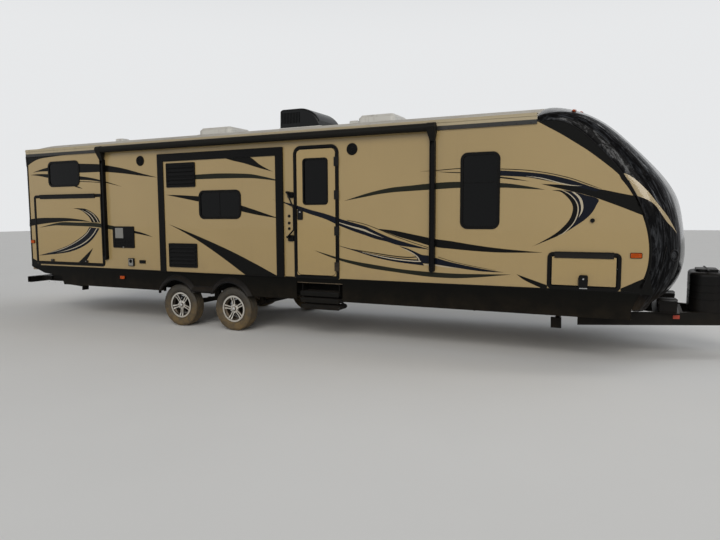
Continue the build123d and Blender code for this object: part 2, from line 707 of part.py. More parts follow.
def make_entry_latch():
    y0 = -HALF - LEAF_PROUD
    x = ENTRY[0] + FRAME_STEP + 58
    body = panel(x - 40, x + 40, 1650, 1790, 14, y0 - 16, y0)
    paddle = panel(x - 26, x + 26, 1665, 1715, 8, y0 - 26, y0 - 16)
    return body + paddle


# Latches of the hatches: station, width, height
KITCHEN_LATCHES = [(560, 70, 42), (1380, 70, 42)]
BAGGAGE_LATCHES = [(9208, 104, 98)]


# Kitchen hatch and baggage doors open upwards about an axis along X
def hatch_leaf(row, latches):
    name, x0, x1, z0, z1, radius = row
    y0 = -HALF - LEAF_PROUD
    step = FRAME_STEP
    corner = max(radius - step, LEAF_RADIUS)
    leaf = panel(x0 + step, x1 - step, z0 + step, z1 - step, corner, y0, y0 + LEAF)
    mid = (x0 + x1) / 2
    half_hinge = (x1 - x0) * 0.4
    low = z1 - step - HINGE_LAP
    leaf += rod(mid, HINGE_Y, z1, HINGE_RADIUS, 2 * half_hinge, "X")
    leaf += block(mid - half_hinge, mid + half_hinge, HINGE_Y, HINGE_Y + HINGE_PLATE, low, z1)
    leaf += block(mid - half_hinge, mid + half_hinge, HINGE_Y, y0, low, z1 - step - 4)
    for x, wide, tall in latches:
        foot = z0 + step + 5
        leaf += panel(x - wide / 2, x + wide / 2, foot, foot + tall, 14, y0 - 22, y0)
    return leaf


def hatch_frame(row):
    name, x0, x1, z0, z1, radius = row
    inner = FRAME_FACE
    corner = max(radius - inner, LEAF_RADIUS)
    ring = panel(x0, x1, z0, z1, radius, -HALF - FRAME_PROUD, -HALF)
    ring -= panel(x0 + inner, x1 - inner, z0 + inner, z1 - inner, corner, -HALF - 60, -HALF + 60)
    out = FRAME_FACE - JAMB
    jamb = panel(x0 + out, x1 - out, z0 + out, z1 - out, max(radius - out, LEAF_RADIUS), -HALF, -HALF + WALL)
    jamb -= panel(x0 + inner, x1 - inner, z0 + inner, z1 - inner, corner, -HALF - 60, -HALF + 90)
    return ring + jamb


def opening_row(rows, name):
    return [row for row in rows if row[0] == name][0]


def window_frame(row):
    name, x0, x1, z0, z1, radius = row
    rim = WINDOW_RIM
    r = radius - rim
    ring = panel(x0, x1, z0, z1, radius, -HALF - 9, -HALF)
    ring += panel(x0 + rim, x1 - rim, z0 + rim, z1 - rim, r, -HALF, -HALF + WALL)
    edge = rim + 8
    return ring - panel(x0 + edge, x1 - edge, z0 + edge, z1 - edge, r - 8, -HALF - 60, -HALF + 90)


def window_glass(row):
    name, x0, x1, z0, z1, radius = row
    rim = WINDOW_RIM + 8
    return panel(x0 + rim, x1 - rim, z0 + rim, z1 - rim, radius - rim, -HALF + 2, -HALF + 8)


def windows(maker):
    pieces = []
    for rows, side in ((CAMP_OPENINGS, -1), (OFF_OPENINGS, 1)):
        for row in rows:
            if "window" in row[0]:
                piece = maker(row)
                pieces.append(piece if side < 0 else mirror(piece, about=Plane.XZ))
    return Compound(pieces)


# Slide-out room
SLIDE_FACE_Y = -HALF - 20
SLIDE_WINDOW = (3792, 4554, 1662, 2084)
SLIDE_VENTS = [("upper", 3183, 3735, 2141, 2505), ("lower", 3190, 3735, 927, 1293)]


def make_slide_room():
    outer = block(
        SLIDE_REAR, SLIDE_FRONT, SLIDE_FACE_Y, SLIDE_FACE_Y + SLIDE_DEPTH, SLIDE_BOTTOM, SLIDE_TOP
    )
    inner = block(
        SLIDE_REAR + SLIDE_WALL,
        SLIDE_FRONT - SLIDE_WALL,
        SLIDE_FACE_Y + SLIDE_WALL,
        SLIDE_FACE_Y + SLIDE_DEPTH + 10,
        SLIDE_BOTTOM + SLIDE_WALL,
        SLIDE_TOP - SLIDE_WALL,
    )
    room = outer - inner
    x0, x1, z0, z1 = SLIDE_WINDOW
    room -= panel(x0 + 26, x1 - 26, z0 + 26, z1 - 26, 60, SLIDE_FACE_Y - 20, SLIDE_FACE_Y + 80)
    return room


def make_slide_flange():
    """Black fascia that laps the wall round the room's face."""
    low = SLIDE_BOTTOM - SLIDE_FLANGE_LOW
    x0 = SLIDE_REAR - SLIDE_FLANGE
    x1 = SLIDE_FRONT + SLIDE_FLANGE
    z1 = SLIDE_TOP + SLIDE_FLANGE
    y0 = -HALF - 32
    y1 = -HALF - 6
    ring = panel(x0, x1, low, z1, 12, y0, y1)
    ring -= block(SLIDE_REAR, SLIDE_FRONT, y0 - 20, y1 + 20, SLIDE_BOTTOM, SLIDE_TOP)
    return ring


def make_slide_stop():
    """Inner stop that meets the wall's back when the room is fully out."""
    y0 = SLIDE_FACE_Y + SLIDE_DEPTH
    outer = block(SLIDE_REAR - 45, SLIDE_FRONT + 45, y0, y0 + 15, SLIDE_BOTTOM, SLIDE_TOP + 45)
    inner = block(SLIDE_REAR + 5, SLIDE_FRONT - 5, y0 - 1, y0 + 20, SLIDE_BOTTOM - 1, SLIDE_TOP - 5)
    return outer - inner


def make_slide_window():
    x0, x1, z0, z1 = SLIDE_WINDOW
    y = SLIDE_FACE_Y
    ring = panel(x0, x1, z0, z1, 90, y - 9, y)
    ring += panel(x0 + 26, x1 - 26, z0 + 26, z1 - 26, 60, y, y + SLIDE_WALL)
    return ring - panel(x0 + 34, x1 - 34, z0 + 34, z1 - 34, 52, y - 60, y + 90)


def make_slide_glass():
    x0, x1, z0, z1 = SLIDE_WINDOW
    y = SLIDE_FACE_Y
    return panel(x0 + 34, x1 - 34, z0 + 34, z1 - 34, 52, y + 2, y + 8)


def make_slide_vents():
    """Louvred fridge vents, upper and lower."""
    pieces = []
    for name, x0, x1, z0, z1 in SLIDE_VENTS:
        y = SLIDE_FACE_Y
        plate = panel(x0, x1, z0, z1, 16, y - 14, y)
        count = 7
        pitch = (z1 - z0 - 60) / count
        for k in range(count):
            z = z0 + 30 + pitch * (k + 0.5)
            plate -= block(x0 + 34, x1 - 34, y - 20, y - 6, z - pitch * 0.28, z + pitch * 0.28)
        pieces.append(plate)
    return Compound(pieces)


# Awning
AWNING_ARMS = (1850, 7434)
ARM_HALF = 33
ARM_DEPTH = 62
ARM_WALL = 8
ARM_LOW = 1030
ROLLER_RADIUS = 50
ROLLER_Y = -HALF - EAVE_RAIL - 12 - ROLLER_RADIUS
ROLLER_Z = EAVE + 6
HEAD_HALF = 50
HEAD_WALL = 5
HEAD_DROP = 155
HEAD_TAPER = 90


def make_awning_arms():
    """Channel arms on the wall, each with its folded inner arm."""
    pieces = []
    top = ROLLER_Z - HEAD_DROP - RUN_GAP
    y0 = -HALF - ARM_DEPTH
    for x in AWNING_ARMS:
        arm = block(x - ARM_HALF, x + ARM_HALF, y0, -HALF, ARM_LOW, top)
        inner = ARM_HALF - ARM_WALL
        arm -= block(x - inner, x + inner, y0 - 20, -HALF - 30, ARM_LOW + 30, top - ARM_WALL)
        arm += block(x - inner + 4, x + inner - 4, y0 + 10, -HALF - 30, ARM_LOW + 20, top - 60)
        foot = rod(x, y0 / 2 - HALF / 2, ARM_LOW, ARM_HALF, ARM_DEPTH, "Y")
        pieces.append(arm + foot)
    return Compound(pieces)


def make_awning_head(x):
    """Moulded head at one end of the roller, tapering down to the arm."""
    r = ROLLER_RADIUS + HEAD_WALL
    low = ROLLER_Z - HEAD_DROP
    back = -HALF - EAVE_RAIL - 8 - RUN_GAP
    rise = math.sqrt(r * r - (back - ROLLER_Y) ** 2)
    side = [
        Line((back, low), (-HALF - ARM_DEPTH, low)),
        Line((-HALF - ARM_DEPTH, low), (ROLLER_Y - r, ROLLER_Z)),
        ThreePointArc((ROLLER_Y - r, ROLLER_Z), (ROLLER_Y, ROLLER_Z + r), (back, ROLLER_Z + rise)),
        Line((back, ROLLER_Z + rise), (back, low)),
    ]
    plane = Plane(origin=(x - HEAD_HALF, 0, 0), x_dir=(0, 1, 0), z_dir=(1, 0, 0))
    head = extrude(plane * make_face(side), amount=2 * HEAD_HALF)
    top = ROLLER_Z + r + 10
    front = [(x - ARM_HALF, low), (x + ARM_HALF, low)]
    front += [(x + HEAD_HALF, low + HEAD_TAPER), (x + HEAD_HALF, top)]
    front += [(x - HEAD_HALF, top), (x - HEAD_HALF, low + HEAD_TAPER)]
    return head & profile(front, ROLLER_Y - 2 * r, -HALF)


def make_awning_roller():
    """Rolled awning between its two heads."""
    x0, x1 = AWNING_ARMS
    roll = rod((x0 + x1) / 2, ROLLER_Y, ROLLER_Z, ROLLER_RADIUS, x1 - x0 - HEAD_HALF, "X")
    return roll + make_awning_head(x0) + make_awning_head(x1)


# Roof fittings
AC_STATIONS = (4670, 5350)
AC_HALF = 350
AC_EDGE = 38
AC_FLAT = 330
AC_NOSE = 72
AC_RIBS = 12
AC_RIB_PITCH = 27
AC_SLOT = 15
AC_SLOT_DEPTH = 12


def make_air_conditioner():
    """Roof air conditioner: a shroud with a steep tail, a curved nose and ribbed intakes in its sides."""
    x0, x1 = AC_STATIONS
    top = CROWN + AC_HEIGHT
    low = CROWN - ROOF_SINK
    flat = (x0 + AC_FLAT, top)
    nose = (x1, CROWN + AC_NOSE)
    side = [
        Line((x1, low), (x0, low)),
        Line((x0, low), (x0 + 8, top - 34)),
        Line((x0 + 8, top - 34), (x0 + 40, top)),
        Line((x0 + 40, top), flat),
        TangentArc(flat, nose, tangent=(1, 0)),
        Line(nose, (x1, low)),
    ]
    plane = Plane(origin=(0, AC_HALF, 0), x_dir=(1, 0, 0), z_dir=(0, -1, 0))
    shroud = extrude(plane * make_face(side), amount=2 * AC_HALF)
    ridge = shroud.edges().filter_by(GeomType.LINE).filter_by(Axis.X).group_by(Axis.Z)[-1]
    shroud = fillet(ridge, AC_EDGE)
    depth = AC_HALF - AC_SLOT_DEPTH
    for k in range(AC_RIBS):
        x = x0 + 40 + k * AC_RIB_PITCH
        slot = block(x, x + AC_SLOT, -AC_HALF - 10, -depth, CROWN + 55, top - AC_EDGE - 22)
        shroud -= slot + mirror(slot, about=Plane.XZ)
    return shroud - ROOF_FILLED


def make_roof_vents():
    pieces = []
    for x, half_x, half_y, top in (
        (3360, 330, 300, CROWN + VENT_HEIGHT),
        (6255, 290, 300, CROWN + VENT_HEIGHT),
        (5789, 70, 70, CROWN + VENT_HEIGHT - 30),
        (1008, 90, 90, CROWN + VENT_HEIGHT - 30),
    ):
        lid = block(x - half_x, x + half_x, -half_y, half_y, CROWN - ROOF_SINK, top)
        lid = fillet(lid.edges().filter_by(Axis.Z), min(half_x, half_y) * 0.25)
        lid = chamfer(lid.faces().sort_by(Axis.Z)[-1].edges(), min(half_x, half_y) * 0.15)
        pieces.append(lid - ROOF_FILLED)
    return Compound(pieces)


# Tongue equipment
GAS_STATIONS = (10325, 10700)
GAS_HALF = 330
GAS_CORNER = 130
GAS_TOP = 1015
GAS_LID = 32
GAS_GROOVES = (690, 775, 860)


def make_gas_cover():
    """Moulded cover over two gas bottles, with grooves round it and a raised lid."""
    x0, x1 = GAS_STATIONS
    mid = (x0 + x1) / 2
    long = x1 - x0
    base = Plane(origin=(mid, 0, DRAWBAR_TOP))
    cover = extrude(base * RectangleRounded(long, 2 * GAS_HALF, GAS_CORNER), amount=GAS_TOP - DRAWBAR_TOP)
    cover = fillet(cover.faces().sort_by(Axis.Z)[-1].edges(), 45)
    for z in GAS_GROOVES:
        band = Plane(origin=(mid, 0, z))
        groove = band * RectangleRounded(long + 40, 2 * GAS_HALF + 40, GAS_CORNER + 20)
        groove -= band * RectangleRounded(long - 14, 2 * GAS_HALF - 14, GAS_CORNER - 7)
        cover -= extrude(groove, amount=12)
    lid = extrude(Plane(origin=(mid, 0, GAS_TOP)) * RectangleRounded(long - 140, 340, 50), amount=GAS_LID)
    return cover + fillet(lid.faces().sort_by(Axis.Z)[-1].edges(), 10)


def make_battery_box():
    tray = block(9930, 10218, -600, 600, DRAWBAR_TOP, DRAWBAR_TOP + 6)
    for y0, y1 in ((-570, -230), (230, 570)):
        box = block(9990, 10190, y0, y1, DRAWBAR_TOP + 6, 690)
        tray += fillet(box.edges().filter_by(Axis.Z), 20)
    return tray


def make_leg(row):
    """Folded stabiliser leg, a square tube with a foot plate, hinged at its inner end."""
    name, x, y, way, droop = row
    bar = block(-25, LEG_LENGTH, -25, 25, -22, 22) - block(-40, LEG_LENGTH - 20, -20, 20, -40, 17)
    foot = block(LEG_LENGTH - 20, LEG_LENGTH + 8, -60, 60, -75, 55)
    leg = bar + foot + rod(0, 0, 0, LEG_PIN, 92, "Y")
    return Pos(x, y, LEG_PIVOT_Z) * Rot(0, 0, leg_turn(y, way)) * Rot(0, droop, 0) * leg


# Entry steps: three treads, the upper one fixed
TREAD_X0 = 5510
TREAD_X1 = 6105
TREAD_PITCH = 91
TREAD_TOP = 663
TREAD_DEPTH = 235
TREAD_FRONT_Y = -HALF + 5
TREAD_PLATE = 6
TREAD_LIP = 62
FLANGE_DROP = 55
ARM_RUN = 195
ARM_WIDTH = 30
PIN = 6


def tread_pins(level):
    """Front and rear pivot of a folded tread: y and z."""
    z = TREAD_TOP - TREAD_PITCH * level - 25
    front = TREAD_FRONT_Y + 20
    return (front, z), (front + ARM_RUN, z)


def make_tread(level):
    top = TREAD_TOP - TREAD_PITCH * level
    y0 = TREAD_FRONT_Y
    y1 = y0 + TREAD_DEPTH
    tread = block(TREAD_X0, TREAD_X1, y0, y1, top - TREAD_PLATE, top)
    tread += block(TREAD_X0, TREAD_X1, y0, y0 + 5, top - TREAD_LIP, top)
    for x in (TREAD_X0, TREAD_X1 - 5):
        tread += block(x, x + 5, y0, y1, top - FLANGE_DROP, top)
    front, rear = tread_pins(level)
    for y, z in (front, rear):
        tread -= rod((TREAD_X0 + TREAD_X1) / 2, y, z, PIN + RUN_GAP, TREAD_X1 - TREAD_X0 + 40, "X")
    return tread


def make_arms(level):
    """Pair of side arms from one tread's front pivot to the next tread's rear pivot."""
    front, _ = tread_pins(level)
    _, rear = tread_pins(level + 1)
    length = math.hypot(rear[0] - front[0], rear[1] - front[1])
    angle = math.degrees(math.atan2(rear[1] - front[1], rear[0] - front[0]))
    pieces = []
    for x, way in ((TREAD_X0 - 14, 1), (TREAD_X1 + 8, -1)):
        bar = Pos(3, 0, 0) * Rot(0, 90, 0) * Cylinder(ARM_WIDTH / 2, 6)
        bar += Pos(3, length, 0) * Rot(0, 90, 0) * Cylinder(ARM_WIDTH / 2, 6)
        bar += Pos(3, length / 2, 0) * Box(6, length, ARM_WIDTH)
        for y in (0, length):
            bar += Pos(3 + way * 9, y, 0) * Rot(0, 90, 0) * Cylinder(PIN, 18)
        pieces.append(Pos(x, front[0], front[1]) * Rot(angle, 0, 0) * bar)
    return Compound(pieces)


def make_step_housing():
    """Side plates under the floor that carry the fixed upper tread."""
    y0 = TREAD_FRONT_Y + 40
    frame = make_tread(0)
    for x in (TREAD_X0 + 5, TREAD_X1 - 15):
        frame += block(x, x + 10, y0, y0 + 160, TREAD_TOP - 20, FLOOR_BOTTOM)
    return frame


# Small fittings on the camp side
HEATER_LOUVRES = 6


def make_speakers():
    pieces = []
    for x in (2639, 6322):
        disc = rod(x, -HALF - 6, 2569, 78, 12, "Y")
        pieces.append(chamfer(disc.edges().group_by(Axis.Y)[0], 5))
    return Compound(pieces)


# Marker lamps on each side: station, height, width, height of the lens
WALL_LAMPS = [(66, 1270, 80, 50), (2172, 720, 95, 48), (9744, 1259, 110, 50)]


def make_lamps():
    """Marker lamps on the walls and the tail lamps."""
    pieces = []
    for x, z, wide, tall in WALL_LAMPS:
        for side in (-1, 1):
            lamp = panel(x - wide / 2, x + wide / 2, z - tall / 2, z + tall / 2, 10, -HALF - 18, -HALF)
            pieces.append(lamp if side < 0 else mirror(lamp, about=Plane.XZ))
    for side in (-1, 1):
        for z in (1150, 1290):
            pieces.append(rod(-10, side * (HALF - 140), z, 55, 20, "X"))
    for y in (140 - HALF, -150, 0, 150, HALF - 140):
        pieces.append(block(-18, 0, y - 45, y + 45, 2680, 2712))
    return Compound(pieces)


def make_heater_door():
    """Louvred door of the water heater."""
    plate = panel(1998, 2458, 1200, 1546, 20, -HALF - 14, -HALF)
    for k in range(HEATER_LOUVRES):
        z = 1232 + k * 24
        plate -= block(2040, 2416, -HALF - 20, -HALF - 7, z, z + 12)
    return plate


def make_outlets():
    pieces = [
        panel(2331, 2442, 913, 1038, 8, -HALF - 30, -HALF),
        panel(2555, 2675, 960, 1012, 6, -HALF - 16, -HALF),
    ]
    for z in (1701, 1605, 1528):
        pieces.append(rod(5347, -HALF - 5, z, 20, 10, "Y"))
    pieces.append(rod(9289, -HALF - 11, 1639, 24, 22, "Y"))
    return Compound(pieces)


def make_grab_handle():
    y = -HALF - 62
    x = 5350
    posts = rod(x, -HALF - 35, 2025, 16, 70, "Y") + rod(x, -HALF - 35, 1411, 16, 70, "Y")
    reach = ENTRY[0] + FRAME_STEP - 20
    path = Polyline((x, y, 2025), (reach, y, 1809), (reach, y, 1512), (x, y, 1411))
    bar = sweep(Plane(origin=path @ 0, z_dir=path % 0) * Circle(11), path, transition=Transition.ROUND)
    return posts + bar


# Interior pieces seen through the openings
COUNTER_TOP = 1410
COUNTER_THICK = 30
DRAWER_ROWS = 3
DRAWER_GAP = 8


def make_kitchen_bay():
    """Open-fronted cupboard behind the kitchen hatch."""
    x0, x1 = 145, 1795
    y0 = -HALF + WALL
    depth = 560
    z0, z1 = FLOOR_TOP, 2100
    shell = block(x0 - 15, x1 + 15, y0, y0 + depth, z0, z1)
    shell -= block(x0, x1, y0 - 5, y0 + depth - 15, z0 + 15, z1 - 15)
    return shell


def make_kitchen_units():
    """Counter over a small fridge and a block of drawers, with their fronts."""
    y0 = -HALF + WALL + 30
    top = COUNTER_TOP - COUNTER_THICK
    low = FLOOR_TOP + 15
    units = block(145, 1795, y0, y0 + 510, top, COUNTER_TOP)
    units += block(240, 760, y0 + 36, y0 + 510, low, top) + block(820, 1700, y0 + 36, y0 + 510, low, top)
    units += block(246, 754, y0 + 20, y0 + 36, low + 20, top - 12)
    tall = (top - low - 20) / DRAWER_ROWS
    for row in range(DRAWER_ROWS):
        z = low + 14 + row * tall
        for x in (826, 1263):
            units += block(x, x + 431, y0 + 20, y0 + 36, z, z + tall - DRAWER_GAP)
    return units


def make_storage_deck():
    """Bed deck over the through locker, with its rear bulkhead."""
    wide = HALF - WALL
    deck = block(8640, 9820, -wide, wide, 1330, 1350)
    bulkhead = block(8640, 8660, -wide, wide, FLOOR_TOP, 1330)
    return trim_to_cap(deck + bulkhead)


os.makedirs("parts", exist_ok=True)
lowest = CAP_SECTIONS[-1]
reach_points = [(0, 0), (lowest[0] - SEAM, 0), (lowest[0] - SEAM, CAP_LOW + 2)]
reach_points += [(COUPLER_STATION, CAP_LOW + 2), (COUPLER_STATION, CROWN), (0, CROWN)]
WALL_REACH = profile(reach_points, -HALF - 10, HALF + 10)
CAP_FILLED = cap_loft(0, SEAM)
ROOF_FILLED = extrude(crowned_face(0, EAVE, 0, CROWN, EAVE_RADIUS, 0), amount=COUPLER_STATION, dir=(1, 0, 0))

nodes = {
    "front_cap": make_cap(),
    "wall_camp_side": make_side_wall(-1),
    "wall_off_side": make_side_wall(1),
    "wall_rear": make_rear_wall(),
    "roof": make_roof(),
    "roof_rails": make_roof_rails(),
    "floor": make_floor(),
    "skirts": make_skirts(),
    "wheel_flares": make_flares(),
    "chassis_rails": make_chassis_rails(),
    "cross_members": make_cross_members(),
    "bumper": make_bumper(),
    "drawbar": make_drawbar(),
    "coupler": make_coupler(),
    "jack_tube": make_jack(),
    "jack_leg": make_jack_leg(),
    "springs": make_springs(),
    "entry_leaf": make_entry_leaf() + make_entry_latch(),
    "entry_glass": make_entry_glass(),
    "grab_handle": make_grab_handle(),
    "kitchen_hatch": hatch_leaf(opening_row(CAMP_OPENINGS, "kitchen"), KITCHEN_LATCHES),
    "baggage_door_camp": hatch_leaf(opening_row(CAMP_OPENINGS, "baggage"), BAGGAGE_LATCHES),
    "baggage_door_off": mirror(
        hatch_leaf(opening_row(CAMP_OPENINGS, "baggage"), BAGGAGE_LATCHES), about=Plane.XZ
    ),
    "door_frames": Compound(
        [
            make_entry_frame(),
            hatch_frame(opening_row(CAMP_OPENINGS, "kitchen")),
            hatch_frame(opening_row(CAMP_OPENINGS, "baggage")),
            mirror(hatch_frame(opening_row(CAMP_OPENINGS, "baggage")), about=Plane.XZ),
        ]
    ),
    "window_frames": windows(window_frame),
    "window_glass": windows(window_glass),
    "slide_room": make_slide_room() + make_slide_stop(),
    "slide_trim": Compound([make_slide_flange(), make_slide_window()]),
    "slide_window_glass": make_slide_glass(),
    "slide_vents": make_slide_vents(),
    "awning_arms": make_awning_arms(),
    "awning_roller": make_awning_roller(),
    "air_conditioner": make_air_conditioner(),
    "roof_vents": make_roof_vents(),
    "gas_cover": make_gas_cover(),
    "battery_boxes": make_battery_box(),
    "step_housing": make_step_housing(),
    "step_arms_upper": make_arms(0),
    "step_tread_middle": make_tread(1),
    "step_arms_lower": make_arms(1),
    "step_tread_lower": make_tread(2),
    "lamps": make_lamps(),
    "wall_fittings": Compound([make_heater_door(), *make_outlets().solids(), *make_speakers().solids()]),
    "kitchen_bay": make_kitchen_bay(),
    "kitchen_units": make_kitchen_units(),
    "storage_deck": make_storage_deck(),
    "axles": Compound([make_axle(x) for x in AXLES.values()]),
}
for name, x in AXLES.items():
    for side_name, side in (("camp", -1), ("off", 1)):
        y = side * WHEEL_TRACK / 2
        nodes["tyre_" + name + "_" + side_name] = make_tyre(x, y)
        nodes["rim_" + name + "_" + side_name] = make_rim(x, y, WHEEL_TURNS[name])
for row in LEG_ROWS:
    nodes["leg_" + row[0]] = make_leg(row)

for name, shape in nodes.items():
    export_step(Pos(-MID_LENGTH, 0, 0) * shape, "parts/" + name + ".step")
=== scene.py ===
import math

import bmesh
import bpy
from mathutils import Matrix, Vector
from mathutils.bvhtree import BVHTree


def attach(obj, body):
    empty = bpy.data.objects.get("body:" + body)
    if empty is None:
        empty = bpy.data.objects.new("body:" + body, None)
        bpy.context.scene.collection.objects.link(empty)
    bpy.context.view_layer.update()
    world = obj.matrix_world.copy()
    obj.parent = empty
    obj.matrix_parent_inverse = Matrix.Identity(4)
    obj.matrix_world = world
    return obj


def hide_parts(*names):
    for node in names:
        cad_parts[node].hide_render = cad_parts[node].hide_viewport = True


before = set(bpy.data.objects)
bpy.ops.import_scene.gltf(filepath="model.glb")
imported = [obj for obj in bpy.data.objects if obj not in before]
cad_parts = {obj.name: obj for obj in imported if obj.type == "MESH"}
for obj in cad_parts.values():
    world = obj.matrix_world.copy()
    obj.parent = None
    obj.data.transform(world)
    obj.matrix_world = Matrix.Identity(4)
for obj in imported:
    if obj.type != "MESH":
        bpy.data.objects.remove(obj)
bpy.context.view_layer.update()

# Places. X is forward, +Y the off side, Z up, ground at 0. A station is the distance
# forward of the rear wall, in millimetres.
REAR_WALL = -5.523
HALF = 1.220
LEAF_FACE = -1.228
SLIDE_FACE = -1.240
CAP_SKIRT_TOP = 0.870
WHEEL_RADIUS = 0.328
WHEEL_TRACK = 2.170
AXLE_STATIONS = {"rear": 3312, "front": 4317}
SIDES = {"camp": -1, "off": 1}

# Openings and panels on the camp side, as stations and heights in millimetres: rear, front, bottom, top
ENTRY_FRAME = (5427, 6123, 844, 2649)
ENTRY_LEAF = (5473, 6077, 890, 2603)
ENTRY_WINDOW = (5586, 5950, 1865, 2465)
KITCHEN_FRAME = (147, 1793, 884, 2075)
KITCHEN_LEAF = (193, 1747, 930, 2029)
BUNK_WINDOW = (534, 1286, 2209, 2638)
FRONT_WINDOW = (7778, 8257, 1536, 2452)
BAGGAGE_FRAME = (8815, 9601, 854, 1281)
BAGGAGE_LEAF = (8861, 9555, 900, 1235)
SLIDE_OPENING = (3108, 5158, 840, 2547)
SLIDE_PANEL = (3120, 5146, 856, 2535)
SLIDE_WINDOW = (3792, 4554, 1662, 2084)
DINETTE_WINDOW = (3420, 4720, 1560, 2280)
GALLEY_WINDOW = (5560, 6160, 1850, 2330)

# The photograph's camera
PHOTO_WIDTH = 720
PHOTO_HEIGHT = 540
FOCAL_PIXELS = 604.83
CAMERA_PLACE = Vector((4.295, -8.428, 1.720))
CAMERA_YAW = -0.43969
CAMERA_PITCH = 0.09176
CAMERA_ROLL = 0.00484


def at(station):
    """X of a station given in millimetres."""
    return station / 1000 + REAR_WALL


def metres(rectangle):
    """Rectangle of stations and heights in millimetres as X and Z in metres."""
    rear, front, bottom, top = rectangle
    return at(rear), at(front), bottom / 1000, top / 1000


# Camera and its rays
def camera_axes():
    """Forward, right and down directions of the photograph's camera."""
    flat = math.cos(CAMERA_PITCH)
    forward = Vector((math.sin(CAMERA_YAW) * flat, math.cos(CAMERA_YAW) * flat, -math.sin(CAMERA_PITCH)))
    level = Vector((math.cos(CAMERA_YAW), -math.sin(CAMERA_YAW), 0))
    sink = forward.cross(level)
    right = level * math.cos(CAMERA_ROLL) + sink * math.sin(CAMERA_ROLL)
    down = sink * math.cos(CAMERA_ROLL) - level * math.sin(CAMERA_ROLL)
    return forward, right, down


FORWARD, RIGHT, DOWN = camera_axes()


def photo_ray(u, v):
    """Direction from the camera through a pixel of the photograph."""
    ray = FORWARD * FOCAL_PIXELS + RIGHT * (u - PHOTO_WIDTH / 2) + DOWN * (v - PHOTO_HEIGHT / 2)
    return ray.normalized()


def on_side(u, v, y):
    """Point of the upright plane at y that a pixel of the photograph shows."""
    ray = photo_ray(u, v)
    return CAMERA_PLACE + ray * ((y - CAMERA_PLACE.y) / ray.y)


def set_camera():
    """The photograph's camera."""
    data = bpy.data.cameras.new("camera")
    data.sensor_width = 36
    data.lens = FOCAL_PIXELS / PHOTO_WIDTH * data.sensor_width
    data.clip_end = 200
    camera = new_object("camera", data)
    turn = Matrix((RIGHT, -DOWN, -FORWARD)).transposed()
    camera.matrix_world = Matrix.Translation(CAMERA_PLACE) @ turn.to_4x4()
    bpy.context.scene.camera = camera


# Nodes
def geo(tree, kind, inputs=None, **settings):
    """New node. Inputs are set by name or number, and a socket given as a value is linked."""
    made = tree.nodes.new(kind)
    for key, value in settings.items():
        setattr(made, key, value)
    for key, value in (inputs or {}).items():
        if isinstance(value, bpy.types.NodeSocket):
            tree.links.new(value, made.inputs[key])
        else:
            made.inputs[key].default_value = value
    return made


def node(tree, kind, inputs=None, **settings):
    """New shader node, by its kind without the word that all of them begin with."""
    return geo(tree, "ShaderNode" + kind, inputs, **settings)


def math_node(tree, operation, *values, clamp=False):
    """Output of a Math node with up to three values or sockets."""
    made = node(tree, "Math", dict(enumerate(values)), operation=operation, use_clamp=clamp)
    return made.outputs[0]


def ramp(tree, value, low, high, to_low=0.0, to_high=1.0):
    """Smooth map of a value from one range to another."""
    inputs = {"Value": value, "From Min": low, "From Max": high, "To Min": to_low, "To Max": to_high}
    return node(tree, "MapRange", inputs, interpolation_type="SMOOTHSTEP").outputs["Result"]


def mix_colour(tree, factor, first, second):
    """Colour between two by a factor. Each of the three may be a socket."""
    made = node(tree, "Mix", data_type="RGBA", blend_type="MIX")
    for index, value in ((0, factor), (6, first), (7, second)):
        if isinstance(value, bpy.types.NodeSocket):
            tree.links.new(value, made.inputs[index])
        elif index == 0:
            made.inputs[index].default_value = value
        else:
            made.inputs[index].default_value = (*value, 1.0)
    return made.outputs[2]


def shader_group(name, inputs, outputs, build):
    """Shader node group with named inputs and outputs, wired by the build function."""
    tree = bpy.data.node_groups.new(name, "ShaderNodeTree")
    for label, default in inputs:
        kind = "NodeSocketColor" if isinstance(default, tuple) else "NodeSocketFloat"
        socket = tree.interface.new_socket(label, in_out="INPUT", socket_type=kind)
        socket.default_value = (*default, 1.0) if isinstance(default, tuple) else default
    for label in outputs:
        tree.interface.new_socket(label, in_out="OUTPUT", socket_type="NodeSocketFloat")
    source = tree.nodes.new("NodeGroupInput")
    target = tree.nodes.new("NodeGroupOutput")
    for label, socket in build(tree, source.outputs).items():
        tree.links.new(socket, target.inputs[label])
    return tree


def object_place(tree):
    """Object coordinates of the shaded point."""
    return node(tree, "TexCoord").outputs["Object"]


def along_axis(tree, vector, axis):
    """One coordinate of a vector."""
    return node(tree, "SeparateXYZ", {0: vector}).outputs[axis]


def facing(tree, axis):
    """How far the surface faces along an axis."""
    return along_axis(tree, node(tree, "NewGeometry").outputs["Normal"], axis)


def noise(tree, place, scale, detail, roughness=0.5, distortion=0.0):
    """Value of a noise texture."""
    inputs = {"Vector": place, "Scale": scale, "Detail": detail, "Roughness": roughness}
    inputs["Distortion"] = distortion
    return node(tree, "TexNoise", inputs).outputs["Fac"]


def stretched(tree, place, x, y, z):
    """Coordinates scaled by a share of their own along each axis."""
    return node(tree, "VectorMath", {0: place, 1: (x, y, z)}, operation="MULTIPLY").outputs[0]


